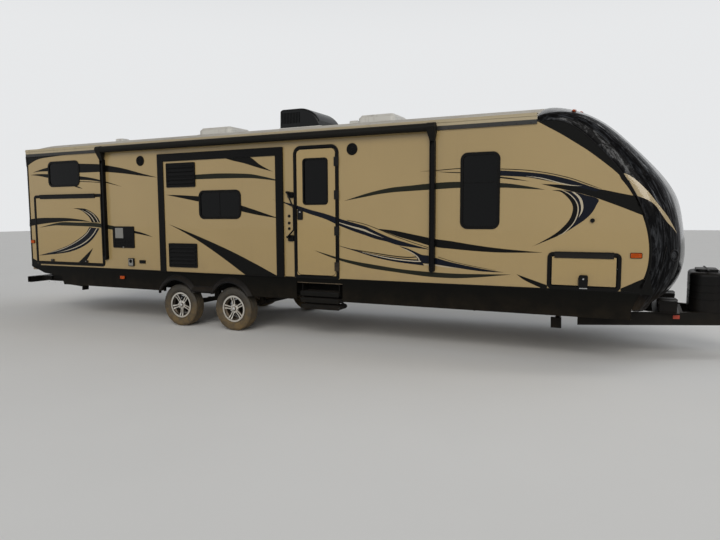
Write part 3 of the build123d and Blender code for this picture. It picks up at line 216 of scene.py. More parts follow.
def build_dust(tree, given):
    """Dust that settles on what faces up and is thrown up from the road."""
    place = object_place(tree)
    low = ramp(tree, along_axis(tree, place, "Z"), given["High"], given["Low"])
    patch = ramp(tree, noise(tree, place, given["Scale"], 6.0, 0.62), 0.32, 0.72)
    road = math_node(tree, "MULTIPLY", low, math_node(tree, "MULTIPLY_ADD", patch, 0.75, 0.25))
    road = math_node(tree, "MULTIPLY", road, given["Road"])
    settled = math_node(tree, "MULTIPLY", ramp(tree, facing(tree, "Z"), 0.25, 0.95), given["Settled"])
    settled = math_node(tree, "MULTIPLY", settled, math_node(tree, "MULTIPLY_ADD", patch, 0.6, 0.4))
    return {"Mask": math_node(tree, "ADD", road, settled, clamp=True)}


def build_streaks(tree, given):
    """Rain streaks that run down from the roof's edge."""
    place = object_place(tree)
    long = stretched(tree, place, 9.0, 9.0, 0.35)
    streak = ramp(tree, noise(tree, long, given["Scale"], 4.0, 0.6), 0.52, 0.72)
    streak = math_node(tree, "MULTIPLY", streak, ramp(tree, noise(tree, place, 0.8, 2.0), 0.4, 0.65))
    return {"Mask": math_node(tree, "MULTIPLY", streak, given["Amount"], clamp=True)}


def build_mottle(tree, given):
    """Soft large patches, from 0 to 1 about a half."""
    return {"Value": ramp(tree, noise(tree, object_place(tree), given["Scale"], 3.0), 0.3, 0.7)}


def build_peel(tree, given):
    """Ripple of sprayed or moulded skins."""
    return {"Height": noise(tree, object_place(tree), given["Scale"], 2.0, 0.45)}


def build_scuffs(tree, given):
    """Thin scratches that cross each other."""
    place = object_place(tree)
    masks = []
    for x, y, z in ((60.0, 60.0, 3.0), (4.0, 60.0, 70.0)):
        lines = noise(tree, stretched(tree, place, x, y, z), given["Scale"], 3.0)
        masks.append(ramp(tree, lines, 0.66, 0.74))
    both = math_node(tree, "MAXIMUM", masks[0], masks[1])
    return {"Mask": math_node(tree, "MULTIPLY", both, given["Amount"], clamp=True)}


DUST = shader_group(
    "Road Dust",
    [("Low", 0.3), ("High", 1.2), ("Scale", 5.0), ("Road", 0.5), ("Settled", 0.3)],
    ["Mask"],
    build_dust,
)
STREAKS = shader_group("Rain Streaks", [("Scale", 1.6), ("Amount", 0.3)], ["Mask"], build_streaks)
MOTTLE = shader_group("Soft Mottle", [("Scale", 1.2)], ["Value"], build_mottle)
PEEL = shader_group("Skin Ripple", [("Scale", 60.0)], ["Height"], build_peel)
SCUFFS = shader_group("Scuffs", [("Scale", 1.0), ("Amount", 0.3)], ["Mask"], build_scuffs)

DUST_TAN = (0.235, 0.165, 0.095)
GRIME = (0.075, 0.06, 0.042)


def placed(tree, group, **values):
    """A shader node group placed in a material with its own values."""
    made = node(tree, "Group", node_tree=group)
    for key, value in values.items():
        label = key.replace("_", " ").title()
        if isinstance(value, bpy.types.NodeSocket):
            tree.links.new(value, made.inputs[label])
        else:
            made.inputs[label].default_value = value
    return made


def new_material(name):
    """Empty material with a Principled shader wired to its output."""
    material = bpy.data.materials.new(name)
    material.use_nodes = True
    tree = material.node_tree
    tree.nodes.clear()
    shader = node(tree, "BsdfPrincipled")
    output = node(tree, "OutputMaterial")
    tree.links.new(shader.outputs[0], output.inputs["Surface"])
    return material, tree, shader


SCUFF_ROUGHENING = 0.25
DUST_ROUGHNESS = 0.85
COAT_ROUGHNESS = 0.04


def weathered(
    name,
    colour,
    roughness,
    metallic=0.0,
    shade=0.12,
    mottle=1.2,
    road=0.3,
    low=0.25,
    high=1.1,
    settled=0.2,
    streaks=0.0,
    scuffs=0.15,
    ripple=60.0,
    bump=0.0006,
    coat=0.0,
    coat_ior=1.5,
    shine=0.5,
    clean=None,
    matt=None,
    polish=None,
):
    """Painted, moulded or metal skin with soft mottle, road dust, rain streaks and scuffs."""
    material, tree, shader = new_material(name)
    darker = tuple(c * (1 - shade) for c in colour)
    patches = placed(tree, MOTTLE, scale=mottle).outputs[0]
    base = clean(tree) if clean else mix_colour(tree, patches, darker, colour)
    wet = placed(tree, STREAKS, amount=streaks).outputs[0]
    base = mix_colour(tree, wet, base, GRIME)
    dust = placed(tree, DUST, low=low, high=high, road=road, settled=settled).outputs[0]
    base = mix_colour(tree, dust, base, DUST_TAN)
    tree.links.new(base, shader.inputs["Base Color"])
    marks = placed(tree, SCUFFS, amount=scuffs).outputs[0]
    rough = math_node(tree, "MULTIPLY_ADD", marks, SCUFF_ROUGHENING, roughness)
    dull = math_node(tree, "MAXIMUM", dust, wet)
    if matt:
        dull = math_node(tree, "MAXIMUM", dull, matt(tree))
    rough = math_node(tree, "MULTIPLY_ADD", dull, max(DUST_ROUGHNESS - roughness, 0.0), rough, clamp=True)
    tree.links.new(rough, shader.inputs["Roughness"])
    shader.inputs["Metallic"].default_value = metallic
    shader.inputs["Specular IOR Level"].default_value = shine
    if metallic:
        bare_metal = math_node(tree, "MULTIPLY_ADD", dust, -metallic, metallic)
        tree.links.new(bare_metal, shader.inputs["Metallic"])
    if coat:
        gloss = math_node(tree, "MULTIPLY_ADD", dull, -coat, coat, clamp=True)
        if polish:
            gloss = math_node(tree, "MULTIPLY", gloss, polish(tree))
        tree.links.new(gloss, shader.inputs["Coat Weight"])
        shader.inputs["Coat Roughness"].default_value = COAT_ROUGHNESS
        shader.inputs["Coat IOR"].default_value = coat_ior
    height = placed(tree, PEEL, scale=ripple).outputs[0]
    lift = node(tree, "Bump", {"Height": height, "Distance": bump, "Strength": 1.0})
    tree.links.new(lift.outputs[0], shader.inputs["Normal"])
    return material


def two_tone(first, second, height, soft):
    """Colour that changes from one to the other at a height."""

    def build(tree):
        z = along_axis(tree, object_place(tree), "Z")
        return mix_colour(tree, ramp(tree, z, height - soft, height + soft), first, second)

    return build


def off_centre(tree):
    """Distance from the caravan's middle plane."""
    return math_node(tree, "ABSOLUTE", along_axis(tree, object_place(tree), "Y"))


def proud_of_leaf(tree):
    """Mask of the hinges and latches that stand on a door's panel."""
    return ramp(tree, off_centre(tree), -LEAF_FACE + 0.0003, -LEAF_FACE + 0.0008)


def leaf_paint(tree):
    """Wall colour on a door's panel and black on its hinges and latches."""
    return mix_colour(tree, proud_of_leaf(tree), TAN, (0.002, 0.002, 0.002))


def wood_grain(light, dark):
    """Long grain of laminated board."""

    def build(tree):
        place = stretched(tree, object_place(tree), 1.0, 22.0, 22.0)
        grain = noise(tree, place, 2.2, 5.0, distortion=0.6)
        return mix_colour(tree, ramp(tree, grain, 0.35, 0.65), dark, light)

    return build


def machined_face(bright, dark):
    """Alloy whose outward faces are turned bright and whose pockets are painted dark."""

    def build(tree):
        across = ramp(tree, math_node(tree, "ABSOLUTE", facing(tree, "Y")), 0.86, 0.95)
        outer = ramp(tree, off_centre(tree), WHEEL_TRACK / 2 + 0.018, WHEEL_TRACK / 2 + 0.026)
        return mix_colour(tree, math_node(tree, "MULTIPLY", across, outer), dark, bright)

    return build


def lens_material(name, colour, rear_colour=None):
    """Moulded lamp lens with prism ribs inside. Lenses behind the rear wall have their own colour."""
    material, tree, shader = new_material(name)
    place = stretched(tree, object_place(tree), 160.0, 160.0, 160.0)
    ribs = node(tree, "TexWave", {"Vector": place, "Scale": 1.0, "Distortion": 0.0}, bands_direction="Z")
    shader.inputs["Roughness"].default_value = 0.16
    shader.inputs["Specular IOR Level"].default_value = 0.1
    shader.inputs["Coat Weight"].default_value = 0.12
    shader.inputs["Coat Roughness"].default_value = 0.03
    deep = tuple(c * 0.45 for c in colour)
    base = mix_colour(tree, ribs.outputs["Fac"], deep, colour)
    if rear_colour:
        x = along_axis(tree, object_place(tree), "X")
        base = mix_colour(tree, ramp(tree, x, REAR_WALL + 0.001, REAR_WALL - 0.001), base, rear_colour)
    dust = placed(tree, DUST, low=0.3, high=1.5, road=0.04, settled=0.06).outputs[0]
    tree.links.new(mix_colour(tree, dust, base, DUST_TAN), shader.inputs["Base Color"])
    lift = node(tree, "Bump", {"Height": ribs.outputs["Fac"], "Distance": 0.0008})
    tree.links.new(lift.outputs[0], shader.inputs["Normal"])
    return material


def glass_material(name, colour, clear):
    """Tinted window glass with a thin film of dust and dried drops."""
    material, tree, shader = new_material(name)
    shader.inputs["Specular IOR Level"].default_value = 0.05
    shader.inputs["Transmission Weight"].default_value = clear
    shader.inputs["IOR"].default_value = 1.5
    drops = node(tree, "TexVoronoi", {"Vector": object_place(tree), "Scale": 70.0})
    spots = ramp(tree, drops.outputs["Distance"], 0.16, 0.08)
    film = placed(tree, STREAKS, amount=0.5).outputs[0]
    soiled = math_node(tree, "MULTIPLY", spots, film)
    film_colour = mix_colour(tree, math_node(tree, "MULTIPLY", soiled, 0.12), colour, DUST_TAN)
    tree.links.new(film_colour, shader.inputs["Base Color"])
    tree.links.new(math_node(tree, "MULTIPLY_ADD", soiled, 0.25, 0.03), shader.inputs["Roughness"])
    return material


TYRE_DARK = (0.020, 0.019, 0.017)
TYRE_PALE = (0.032, 0.030, 0.025)
TYRE_DUST = (0.165, 0.108, 0.042)


def tyre_material():
    """Rubber with worn, dusty treads and sidewalls."""
    material, tree, shader = new_material("tyre rubber")
    place = object_place(tree)
    patch = ramp(tree, noise(tree, place, 9.0, 6.0, 0.65), 0.3, 0.7)
    low = ramp(tree, along_axis(tree, place, "Z"), 0.60, 0.02, 0.10, 0.95)
    dust = math_node(tree, "MULTIPLY", low, math_node(tree, "MULTIPLY_ADD", patch, 0.7, 0.3), clamp=True)
    base = mix_colour(tree, patch, TYRE_DARK, TYRE_PALE)
    tree.links.new(mix_colour(tree, dust, base, TYRE_DUST), shader.inputs["Base Color"])
    tree.links.new(math_node(tree, "MULTIPLY_ADD", dust, 0.3, 0.6, clamp=True), shader.inputs["Roughness"])
    lift = node(tree, "Bump", {"Height": noise(tree, place, 260.0, 2.0), "Distance": 0.0006})
    tree.links.new(lift.outputs[0], shader.inputs["Normal"])
    return material


def awning_material():
    """Rolled vinyl cover with a fine weave."""
    return weathered(
        "awning cloth", (0.009, 0.0085, 0.007), 0.5, streaks=0.05, road=0.0, settled=0.06, ripple=300.0,
        bump=0.0004, shine=0.12,
    )


def cap_streaks(tree):
    """Mask of fine streaks that run down the cap's curve, where the gel coat is still polished and where a
    pale bluish reflection is painted into its colour.
    """
    place = stretched(tree, object_place(tree), 6.0, 55.0, 2.5)
    return ramp(tree, noise(tree, place, 1.0, 6.0, 0.7, 1.6), 0.47, 0.66)


GEL_BLACK = (0.0040, 0.0040, 0.0044)
# Pale bluish colour of the painted reflection along the cap's streaks
GEL_PAINTED_SHEEN = (0.090, 0.098, 0.110)


def cap_gel_coat(tree):
    """Black gel coat with a painted reflection: pale bluish sheen mixed into its colour along its streaks.
    """
    # Painted reflection: share of the pale sheen in the colour along the streaks
    painted_sheen = math_node(tree, "MULTIPLY", cap_streaks(tree), 0.28)
    return mix_colour(tree, painted_sheen, GEL_BLACK, GEL_PAINTED_SHEEN)


def cap_foot(tree):
    """Mask of the cap's lower skirt, which is scoured matt."""
    height = along_axis(tree, object_place(tree), "Z")
    return ramp(tree, height, CAP_SKIRT_TOP + 0.01, CAP_SKIRT_TOP - 0.01)


# Finishes: name, colour, roughness and what differs from the plain weathered skin
TAN = (0.365, 0.262, 0.112)
WALL_TAN = weathered(
    "wall tan", TAN, 0.30, shade=0.07, mottle=0.5, road=0.28, low=0.75, high=1.35, settled=0.0,
    streaks=0.05, scuffs=0.1, ripple=2.2, bump=0.0012, coat=0.35,
)
LEAF_TAN = weathered(
    "door panel tan", TAN, 0.30, shade=0.07, mottle=0.5, road=0.28, low=0.75, high=1.35, settled=0.0,
    streaks=0.05, scuffs=0.1, ripple=2.2, bump=0.0012, coat=0.35, clean=leaf_paint,
    matt=proud_of_leaf, shine=0.35,
)
# Cap black whose colour carries a painted reflection of pale bluish streaks
CAP_BLACK = weathered(
    "cap gloss black", (0.0055, 0.0055, 0.006), 0.16, shade=0.3, road=0.10, low=0.6, high=0.95,
    settled=0.02, streaks=0.04, ripple=5.0, bump=0.0022, coat=0.75, coat_ior=1.35, shine=0.03,
    clean=cap_gel_coat, matt=cap_foot, polish=cap_streaks,
)
SKIRT_BLACK = weathered(
    "skirt black", (0.0036, 0.0035, 0.0028), 0.34, road=0.05, low=0.5, high=0.85, settled=0.10, ripple=2.4,
    bump=0.0014, shine=0.07,
)
FLARE_BLACK = weathered(
    "flare moulding", (0.0065, 0.0066, 0.007), 0.40, road=0.04, low=0.45, high=0.9, settled=0.07,
    ripple=420.0, bump=0.0003, shine=0.10,
)
FRAME_BLACK = weathered(
    "chassis paint", (0.007, 0.0068, 0.0062), 0.5, road=0.06, low=0.2, high=0.75, settled=0.10, ripple=45.0,
    bump=0.0008, shine=0.08,
)
TRIM_BLACK = weathered(
    "powder coat black", (0.004, 0.004, 0.004), 0.4, road=0.02, settled=0.05, streaks=0.02, ripple=500.0,
    bump=0.0002, shine=0.10,
)
BOX_BLACK = weathered(
    "moulded box black", (0.0045, 0.0045, 0.0046), 0.42, road=0.03, settled=0.05, ripple=380.0,
    bump=0.0003, shine=0.10,
)
SHROUD_BLACK = weathered(
    "shroud black", (0.006, 0.0065, 0.007), 0.25, road=0.0, settled=0.04, streaks=0.04, ripple=90.0,
    shine=0.2,
)
RUBBER = weathered(
    "seal rubber", (0.006, 0.006, 0.006), 0.6, road=0.05, settled=0.06, ripple=200.0, bump=0.0004,
    shine=0.15,
)
ROOF_WHITE = weathered(
    "roof membrane", (0.52, 0.50, 0.45), 0.65, shade=0.15, road=0.0, settled=0.35, streaks=0.5, ripple=14.0,
    bump=0.002,
)
VENT_WHITE = weathered(
    "vent lid", (0.62, 0.61, 0.57), 0.4, shade=0.1, road=0.0, settled=0.3, streaks=0.35, ripple=80.0,
)
CREAM = (0.40, 0.335, 0.215)
# Rail colour: near black along its lower edge up to a height, cream above it
RAIL_LOW_DARK = (0.008, 0.0075, 0.006)
RAIL_DARK_TOP = 2.786
RAIL_CREAM = weathered(
    "rail cream", CREAM, 0.38, shade=0.08, road=0.0, settled=0.2, streaks=0.3, ripple=30.0,
    clean=two_tone(RAIL_LOW_DARK, CREAM, RAIL_DARK_TOP, 0.004),
)
STEEL = weathered(
    "plated steel", (0.46, 0.46, 0.45), 0.32, metallic=1.0, road=0.35, low=0.1, high=0.7, ripple=120.0,
)
CHROME = weathered(
    "chromed", (0.75, 0.75, 0.75), 0.12, metallic=1.0, shade=0.05, road=0.3, low=0.1, high=0.7, ripple=80.0,
)
SILVER = weathered(
    "silver plastic", (0.26, 0.255, 0.235), 0.35, metallic=0.4, road=0.2, ripple=200.0, bump=0.0002,
)
ALLOY = weathered(
    "machined alloy", (0.6, 0.59, 0.56), 0.3, metallic=0.85, road=0.45, low=0.1, high=0.75, settled=0.15,
    ripple=150.0, bump=0.0002, clean=machined_face((0.62, 0.60, 0.55), (0.028, 0.026, 0.024)),
)
FLOOR_BOARD = weathered(
    "floor board", (0.3, 0.24, 0.18), 0.7, road=0.5, low=0.6, high=0.9,
    clean=wood_grain((0.32, 0.25, 0.17), (0.16, 0.12, 0.08)),
)
CABINET = weathered(
    "cabinet board", (0.3, 0.2, 0.12), 0.45, road=0.0,
    clean=wood_grain((0.24, 0.15, 0.085), (0.12, 0.07, 0.04)),
)
PAINT_BLACK = weathered("stripe black", (0.0042, 0.0042, 0.0038), 0.32, road=0.02, settled=0.0, shine=0.10)
PAINT_OLIVE = weathered("stripe olive", (0.015, 0.016, 0.010), 0.34, road=0.03, settled=0.0, shine=0.12)
PAINT_NAVY = weathered("stripe navy", (0.0038, 0.0056, 0.0115), 0.22, road=0.02, settled=0.0, shine=0.14)
PAINT_SILVER = weathered("stripe silver", (0.46, 0.40, 0.29), 0.3, road=0.06, settled=0.0)
PAINT_TAN = weathered("cap stripe tan", (0.37, 0.28, 0.14), 0.2, road=0.06, settled=0.0, coat=0.6)
GLASS = glass_material("tinted glass", (0.003, 0.0034, 0.0036), 0.2)
TYRE = tyre_material()
AWNING = awning_material()
AMBER = lens_material("amber lens", (0.62, 0.088, 0.001), (0.42, 0.012, 0.01))
REFLECTOR = lens_material("reflector red", (0.60, 0.095, 0.060))
# Near-black lens of the docking lamps: painted shade of the lamp's recess
DARK_LENS = lens_material("smoked lens", (0.030, 0.032, 0.036))

# CAD nodes by finish
FINISHED_NODES = {
    CAP_BLACK: "front_cap",
    WALL_TAN: "wall_camp_side wall_off_side wall_rear slide_room",
    ROOF_WHITE: "roof",
    RAIL_CREAM: "roof_rails",
    FLOOR_BOARD: "floor",
    SKIRT_BLACK: "skirts",
    FLARE_BLACK: "wheel_flares",
    FRAME_BLACK: (
        "chassis_rails cross_members bumper drawbar coupler springs axles step_housing "
        "step_arms_upper step_tread_middle step_arms_lower step_tread_lower"
    ),
    TRIM_BLACK: "jack_tube grab_handle door_frames window_frames slide_trim awning_arms",
    STEEL: "jack_leg",
    LEAF_TAN: "entry_leaf kitchen_hatch baggage_door_camp baggage_door_off",
    GLASS: "entry_glass window_glass slide_window_glass",
    BOX_BLACK: "slide_vents gas_cover battery_boxes wall_fittings",
    AWNING: "awning_roller",
    SHROUD_BLACK: "air_conditioner",
    VENT_WHITE: "roof_vents",
    AMBER: "lamps",
    CABINET: "kitchen_bay kitchen_units storage_deck",
}
NODE_FINISHES = {name: finish for finish, names in FINISHED_NODES.items() for name in names.split()}
for end in AXLE_STATIONS:
    for side in SIDES:
        NODE_FINISHES["rim_" + end + "_" + side] = ALLOY
        NODE_FINISHES["tyre_" + end + "_" + side] = TYRE
for corner in ("rear_camp", "rear_off", "front_camp", "front_off"):
    NODE_FINISHES["leg_" + corner] = FRAME_BLACK


def dress_nodes():
    """Finish on every CAD node."""
    for name, finish in NODE_FINISHES.items():
        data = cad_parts[name].data
        data.materials.clear()
        data.materials.append(finish)


# Meshes
def new_object(name, data):
    """Object with a mesh, lamp or camera, linked to the scene."""
    made = bpy.data.objects.new(name, data)
    bpy.context.scene.collection.objects.link(made)
    return made


def add_piece(name, mesh, finish, body="root", replaced=()):
    """Piece with its finish, which rides on a body and hides the CAD nodes it replaces."""
    mesh.materials.clear()
    mesh.materials.append(finish)
    made = new_object(name, mesh)
    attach(made, body)
    if replaced:
        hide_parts(*replaced)


def closed_off(bm, name):
    """Mesh of a bmesh as it is, and the bmesh freed."""
    mesh = bpy.data.meshes.new(name)
    bm.to_mesh(mesh)
    bm.free()
    return mesh


def mesh_from(bm, name, smooth=False):
    """Mesh of a bmesh, with its faces shaded flat or smooth."""
    for face in bm.faces:
        face.smooth = smooth
    return closed_off(bm, name)


def joined(meshes, name):
    """One mesh from several."""
    bm = bmesh.new()
    for mesh in meshes:
        bm.from_mesh(mesh)
        bpy.data.meshes.remove(mesh)
    return closed_off(bm, name)


def mirrored(mesh, name):
    """Copy of a mesh on the other side of the centreline."""
    bm = bmesh.new()
    bm.from_mesh(mesh)
    bm.transform(Matrix.Diagonal((1, -1, 1, 1)))
    bmesh.ops.reverse_faces(bm, faces=bm.faces)
    return closed_off(bm, name)


def rounded_outline(x0, x1, z0, z1, radius, steps=7):
    """Points of a rounded rectangle, counter-clockwise seen from -Y."""
    centres = ((x1 - radius, z0 + radius, -90), (x1 - radius, z1 - radius, 0))
    centres += ((x0 + radius, z1 - radius, 90), (x0 + radius, z0 + radius, 180))
    points = []
    for cx, cz, start in centres:
        for k in range(steps + 1):
            turn = math.radians(start + 90 * k / steps)
            points.append((cx + radius * math.cos(turn), cz + radius * math.sin(turn)))
    return points


def plate(outline, y0, y1, bevel=0.0):
    """Closed plate with an outline in X and Z, from y0 out to y1, its outer edge bevelled."""
    bm = bmesh.new()
    base = [bm.verts.new((x, y0, z)) for x, z in outline]
    face = bm.faces.new(base)
    top = bmesh.ops.extrude_face_region(bm, geom=[face])
    moved = [v for v in top["geom"] if isinstance(v, bmesh.types.BMVert)]
    bmesh.ops.translate(bm, verts=moved, vec=(0, y1 - y0, 0))
    if bevel:
        rim = [e for e in bm.edges if all(v in moved for v in e.verts)]
        bmesh.ops.bevel(
            bm, geom=rim, offset=bevel, segments=3, profile=0.6, affect="EDGES", clamp_overlap=True
        )
    bmesh.ops.recalc_face_normals(bm, faces=bm.faces)
    return bm


def ring(outer, inner, y0, y1):
    """Closed frame between two outlines with as many points each."""
    bm = bmesh.new()
    loops = []
    for outline, y in ((outer, y0), (outer, y1), (inner, y1), (inner, y0)):
        loops.append([bm.verts.new((x, y, z)) for x, z in outline])
    count = len(outer)
    for a, b in zip(loops, loops[1:] + loops[:1]):
        for k in range(count):
            bm.faces.new((a[k], a[(k + 1) % count], b[(k + 1) % count], b[k]))
    bmesh.ops.recalc_face_normals(bm, faces=bm.faces)
    return bm


def lathe(points, centre, side=1, steps=96):
    """Closed body turned about the Y axis through a centre. Points are radius and place along the axis."""
    bm = bmesh.new()
    rings = []
    for k in range(steps):
        turn = 2 * math.pi * k / steps
        row = []
        for radius, along in points:
            row.append(bm.verts.new((
                centre[0] + radius * math.cos(turn),
                centre[1] + side * along,
                centre[2] + radius * math.sin(turn),
            )))
        rings.append(row)
    for a, b in zip(rings, rings[1:] + rings[:1]):
        for k in range(len(points)):
            n = (k + 1) % len(points)
            bm.faces.new((a[k], a[n], b[n], b[k]))
    bmesh.ops.remove_doubles(bm, verts=bm.verts, dist=1e-6)
    bmesh.ops.recalc_face_normals(bm, faces=bm.faces)
    return bm


def rod_mesh(start, end, radius, sides=16, name="rod"):
    """Round bar between two points, with its ends bevelled."""
    start = Vector(start)
    end = Vector(end)
    bm = bmesh.new()
    length = (end - start).length
    bmesh.ops.create_cone(bm, cap_ends=True, segments=sides, radius1=radius, radius2=radius, depth=length)
    caps = [e for e in bm.edges if abs(e.verts[0].co.z - e.verts[1].co.z) < 1e-7]
    bmesh.ops.bevel(bm, geom=caps, offset=min(radius, length / 2) * 0.25, segments=2, affect="EDGES")
    turn = (end - start).to_track_quat("Z", "Y").to_matrix().to_4x4()
    bm.transform(Matrix.Translation((start + end) / 2) @ turn)
    return mesh_from(bm, name, smooth=False)


def bar_mesh(x0, x1, y0, y1, z0, z1, bevel=0.002, name="bar"):
    """Square bar with softened edges."""
    bm = bmesh.new()
    bmesh.ops.create_cube(bm, size=1)
    bm.transform(Matrix.Diagonal((x1 - x0, y1 - y0, z1 - z0, 1)))
    bmesh.ops.bevel(bm, geom=bm.edges, offset=bevel, segments=2, affect="EDGES")
    bm.transform(Matrix.Translation(((x0 + x1) / 2, (y0 + y1) / 2, (z0 + z1) / 2)))
    return mesh_from(bm, name)


def swept(points, radius, name, sides=6, cyclic=False):
    """Round bead along a line of points."""
    curve = bpy.data.curves.new(name, "CURVE")
    curve.dimensions = "3D"
    curve.bevel_depth = radius
    curve.bevel_resolution = sides // 2
    curve.use_fill_caps = not cyclic
    line = curve.splines.new("POLY")
    line.points.add(len(points) - 1)
    for spot, place in zip(line.points, points):
        spot.co = (*place, 1)
    line.use_cyclic_u = cyclic
    holder = new_object(name, curve)
    mesh = evaluated_mesh(holder)
    bm = bmesh.new()
    bm.from_mesh(mesh)
    bmesh.ops.remove_doubles(bm, verts=bm.verts, dist=1e-6)
    bmesh.ops.recalc_face_normals(bm, faces=bm.faces)
    bm.to_mesh(mesh)
    bm.free()
    mesh.polygons.foreach_set("use_smooth", [True] * len(mesh.polygons))
    return mesh


def evaluated_mesh(holder):
    """Plain mesh of an object with its modifiers applied. The object is removed."""
    bpy.context.view_layer.update()
    graph = bpy.context.evaluated_depsgraph_get()
    mesh = bpy.data.meshes.new_from_object(holder.evaluated_get(graph))
    data = holder.data
    bpy.data.objects.remove(holder)
    if isinstance(data, bpy.types.Curve):
        bpy.data.curves.remove(data)
    return mesh


# Repeats by geometry nodes
def geometry_tree(name, inputs, build):
    """Geometry node tree with named inputs that ends in realized instances and a material."""
    tree = bpy.data.node_groups.new(name, "GeometryNodeTree")
    for label, kind in inputs:
        tree.interface.new_socket(label, in_out="INPUT", socket_type="NodeSocket" + kind)
    tree.interface.new_socket("Finish", in_out="INPUT", socket_type="NodeSocketMaterial")
    tree.interface.new_socket("Geometry", in_out="OUTPUT", socket_type="NodeSocketGeometry")
    given = tree.nodes.new("NodeGroupInput").outputs
    made = geo(tree, "GeometryNodeRealizeInstances", {0: build(tree, given)}).outputs[0]
    made = geo(tree, "GeometryNodeSetMaterial", {"Geometry": made, "Material": given["Finish"]}).outputs[0]
    target = tree.nodes.new("NodeGroupOutput")
    tree.links.new(made, target.inputs["Geometry"])
    return tree


def unit_instances(tree, points, unit, turn=None):
    """The unit object placed on each point."""
    shape = geo(tree, "GeometryNodeObjectInfo", {"Object": unit, "As Instance": True}).outputs["Geometry"]
    inputs = {"Points": points, "Instance": shape}
    if turn is not None:
        inputs["Rotation"] = turn
    return geo(tree, "GeometryNodeInstanceOnPoints", inputs).outputs[0]


def build_row(tree, given):
    """Copies of a unit in a straight row from one point to another."""
    inputs = {"Count": given["Count"], "Start Location": given["Start"], "Offset": given["End"]}
    line = geo(tree, "GeometryNodeMeshLine", inputs, mode="END_POINTS").outputs[0]
    return unit_instances(tree, line, given["Unit"])


def build_wheel_ring(tree, given):
    """Copies of a unit in a ring about the Y axis, each turned with its place."""
    inputs = {"Vertices": given["Count"], "Radius": given["Radius"]}
    ring_line = geo(tree, "GeometryNodeMeshCircle", inputs).outputs[0]
    index = geo(tree, "GeometryNodeInputIndex").outputs[0]
    step = math_node(tree, "DIVIDE", 2 * math.pi, given["Count"])
    turn = math_node(tree, "MULTIPLY", index, step)
    angles = node(tree, "CombineXYZ", {"Z": turn}).outputs[0]
    placed_units = unit_instances(tree, ring_line, given["Unit"], angles)
    inputs = {"Geometry": placed_units, "Rotation": (math.pi / 2, 0, 0)}
    upright = geo(tree, "GeometryNodeTransform", inputs).outputs[0]
    spin = node(tree, "CombineXYZ", {"Y": given["Start Angle"]}).outputs[0]
    inputs = {"Geometry": upright, "Translation": given["Centre"], "Rotation": spin}
    return geo(tree, "GeometryNodeTransform", inputs).outputs[0]


ROW_TREE = geometry_tree(
    "Row of Parts",
    [("Unit", "Object"), ("Start", "Vector"), ("End", "Vector"), ("Count", "Int")],
    build_row,
)
RING_TREE = geometry_tree(
    "Ring of Parts",
    [
        ("Unit", "Object"), ("Centre", "Vector"), ("Radius", "Float"), ("Count", "Int"),
        ("Start Angle", "Float"),
    ],
    build_wheel_ring,
)


def grown(tree, finish, **values):
    """Plain mesh that a geometry tree makes from its named inputs."""
    holder = new_object("holder", bpy.data.meshes.new("holder"))
    modifier = holder.modifiers.new("repeat", "NODES")
    modifier.node_group = tree
    values["finish"] = finish
    sockets = {s.name: s.identifier for s in tree.interface.items_tree if s.in_out == "INPUT"}
    for key, value in values.items():
        modifier[sockets[key.replace("_", " ").title()]] = value
    return evaluated_mesh(holder)


def row_of(unit_mesh, start, end, count, finish):
    """Mesh of a row of units, made by the row tree."""
    unit = new_object("unit", unit_mesh)
    mesh = grown(ROW_TREE, finish, unit=unit, start=start, end=end, count=count)
    bpy.data.objects.remove(unit)
    return mesh


def ring_of(unit_mesh, centre, radius, count, finish, start_angle=0.0):
    """Mesh of a ring of units about the Y axis, made by the ring tree."""
    unit = new_object("unit", unit_mesh)
    mesh = grown(
        RING_TREE, finish, unit=unit, centre=centre, radius=radius, count=count, start_angle=start_angle
    )
    bpy.data.objects.remove(unit)
    return mesh


# Studio
FLOOR_HALF = 60


def make_stage():
    """Pale studio floor."""
    bm = bmesh.new()
    bmesh.ops.create_grid(bm, x_segments=1, y_segments=1, size=FLOOR_HALF)
    floor = new_object("studio_floor", mesh_from(bm, "studio_floor"))
    material, tree, shader = new_material("studio floor")
    cloud = noise(tree, object_place(tree), 0.6, 2.0)
    pale = mix_colour(tree, cloud, (0.70, 0.695, 0.68), (0.74, 0.735, 0.72))
    tree.links.new(pale, shader.inputs["Base Color"])
    shader.inputs["Roughness"].default_value = 0.9
    floor.data.materials.append(material)


SKY_COLOUR = (0.93, 0.96, 1.0, 1.0)
SKY_STRENGTH = 0.30
# The world's wall: colours low and high, and the share of the way up between which they change
WALL_LOW = (0.80, 0.81, 0.82)
WALL_HIGH = (0.22, 0.23, 0.25)
WALL_FADE = (0.25, 0.75)


def make_world():
    """Even pale sky that lights weakly, with a white wall that the camera, metal and glass see."""
    world = bpy.data.worlds.new("studio")
    bpy.context.scene.world = world
    world.use_nodes = True
    tree = world.node_tree
    tree.nodes.clear()
    path = node(tree, "LightPath")
    lamp = node(tree, "Background", {"Color": SKY_COLOUR, "Strength": SKY_STRENGTH})
    up = along_axis(tree, node(tree, "TexCoord").outputs["Generated"], "Z")
    shade = mix_colour(tree, ramp(tree, up, *WALL_FADE), WALL_LOW, WALL_HIGH)
    wall = node(tree, "Background", {"Color": shade, "Strength": 1.0})
    seen = path.outputs["Is Camera Ray"]
    for kind in ("Is Glossy Ray", "Is Transmission Ray"):
        seen = math_node(tree, "MAXIMUM", seen, path.outputs[kind])
    both = node(tree, "MixShader", {0: seen, 1: lamp.outputs[0], 2: wall.outputs[0]})
    output = node(tree, "OutputWorld")
    tree.links.new(both.outputs[0], output.inputs["Surface"])


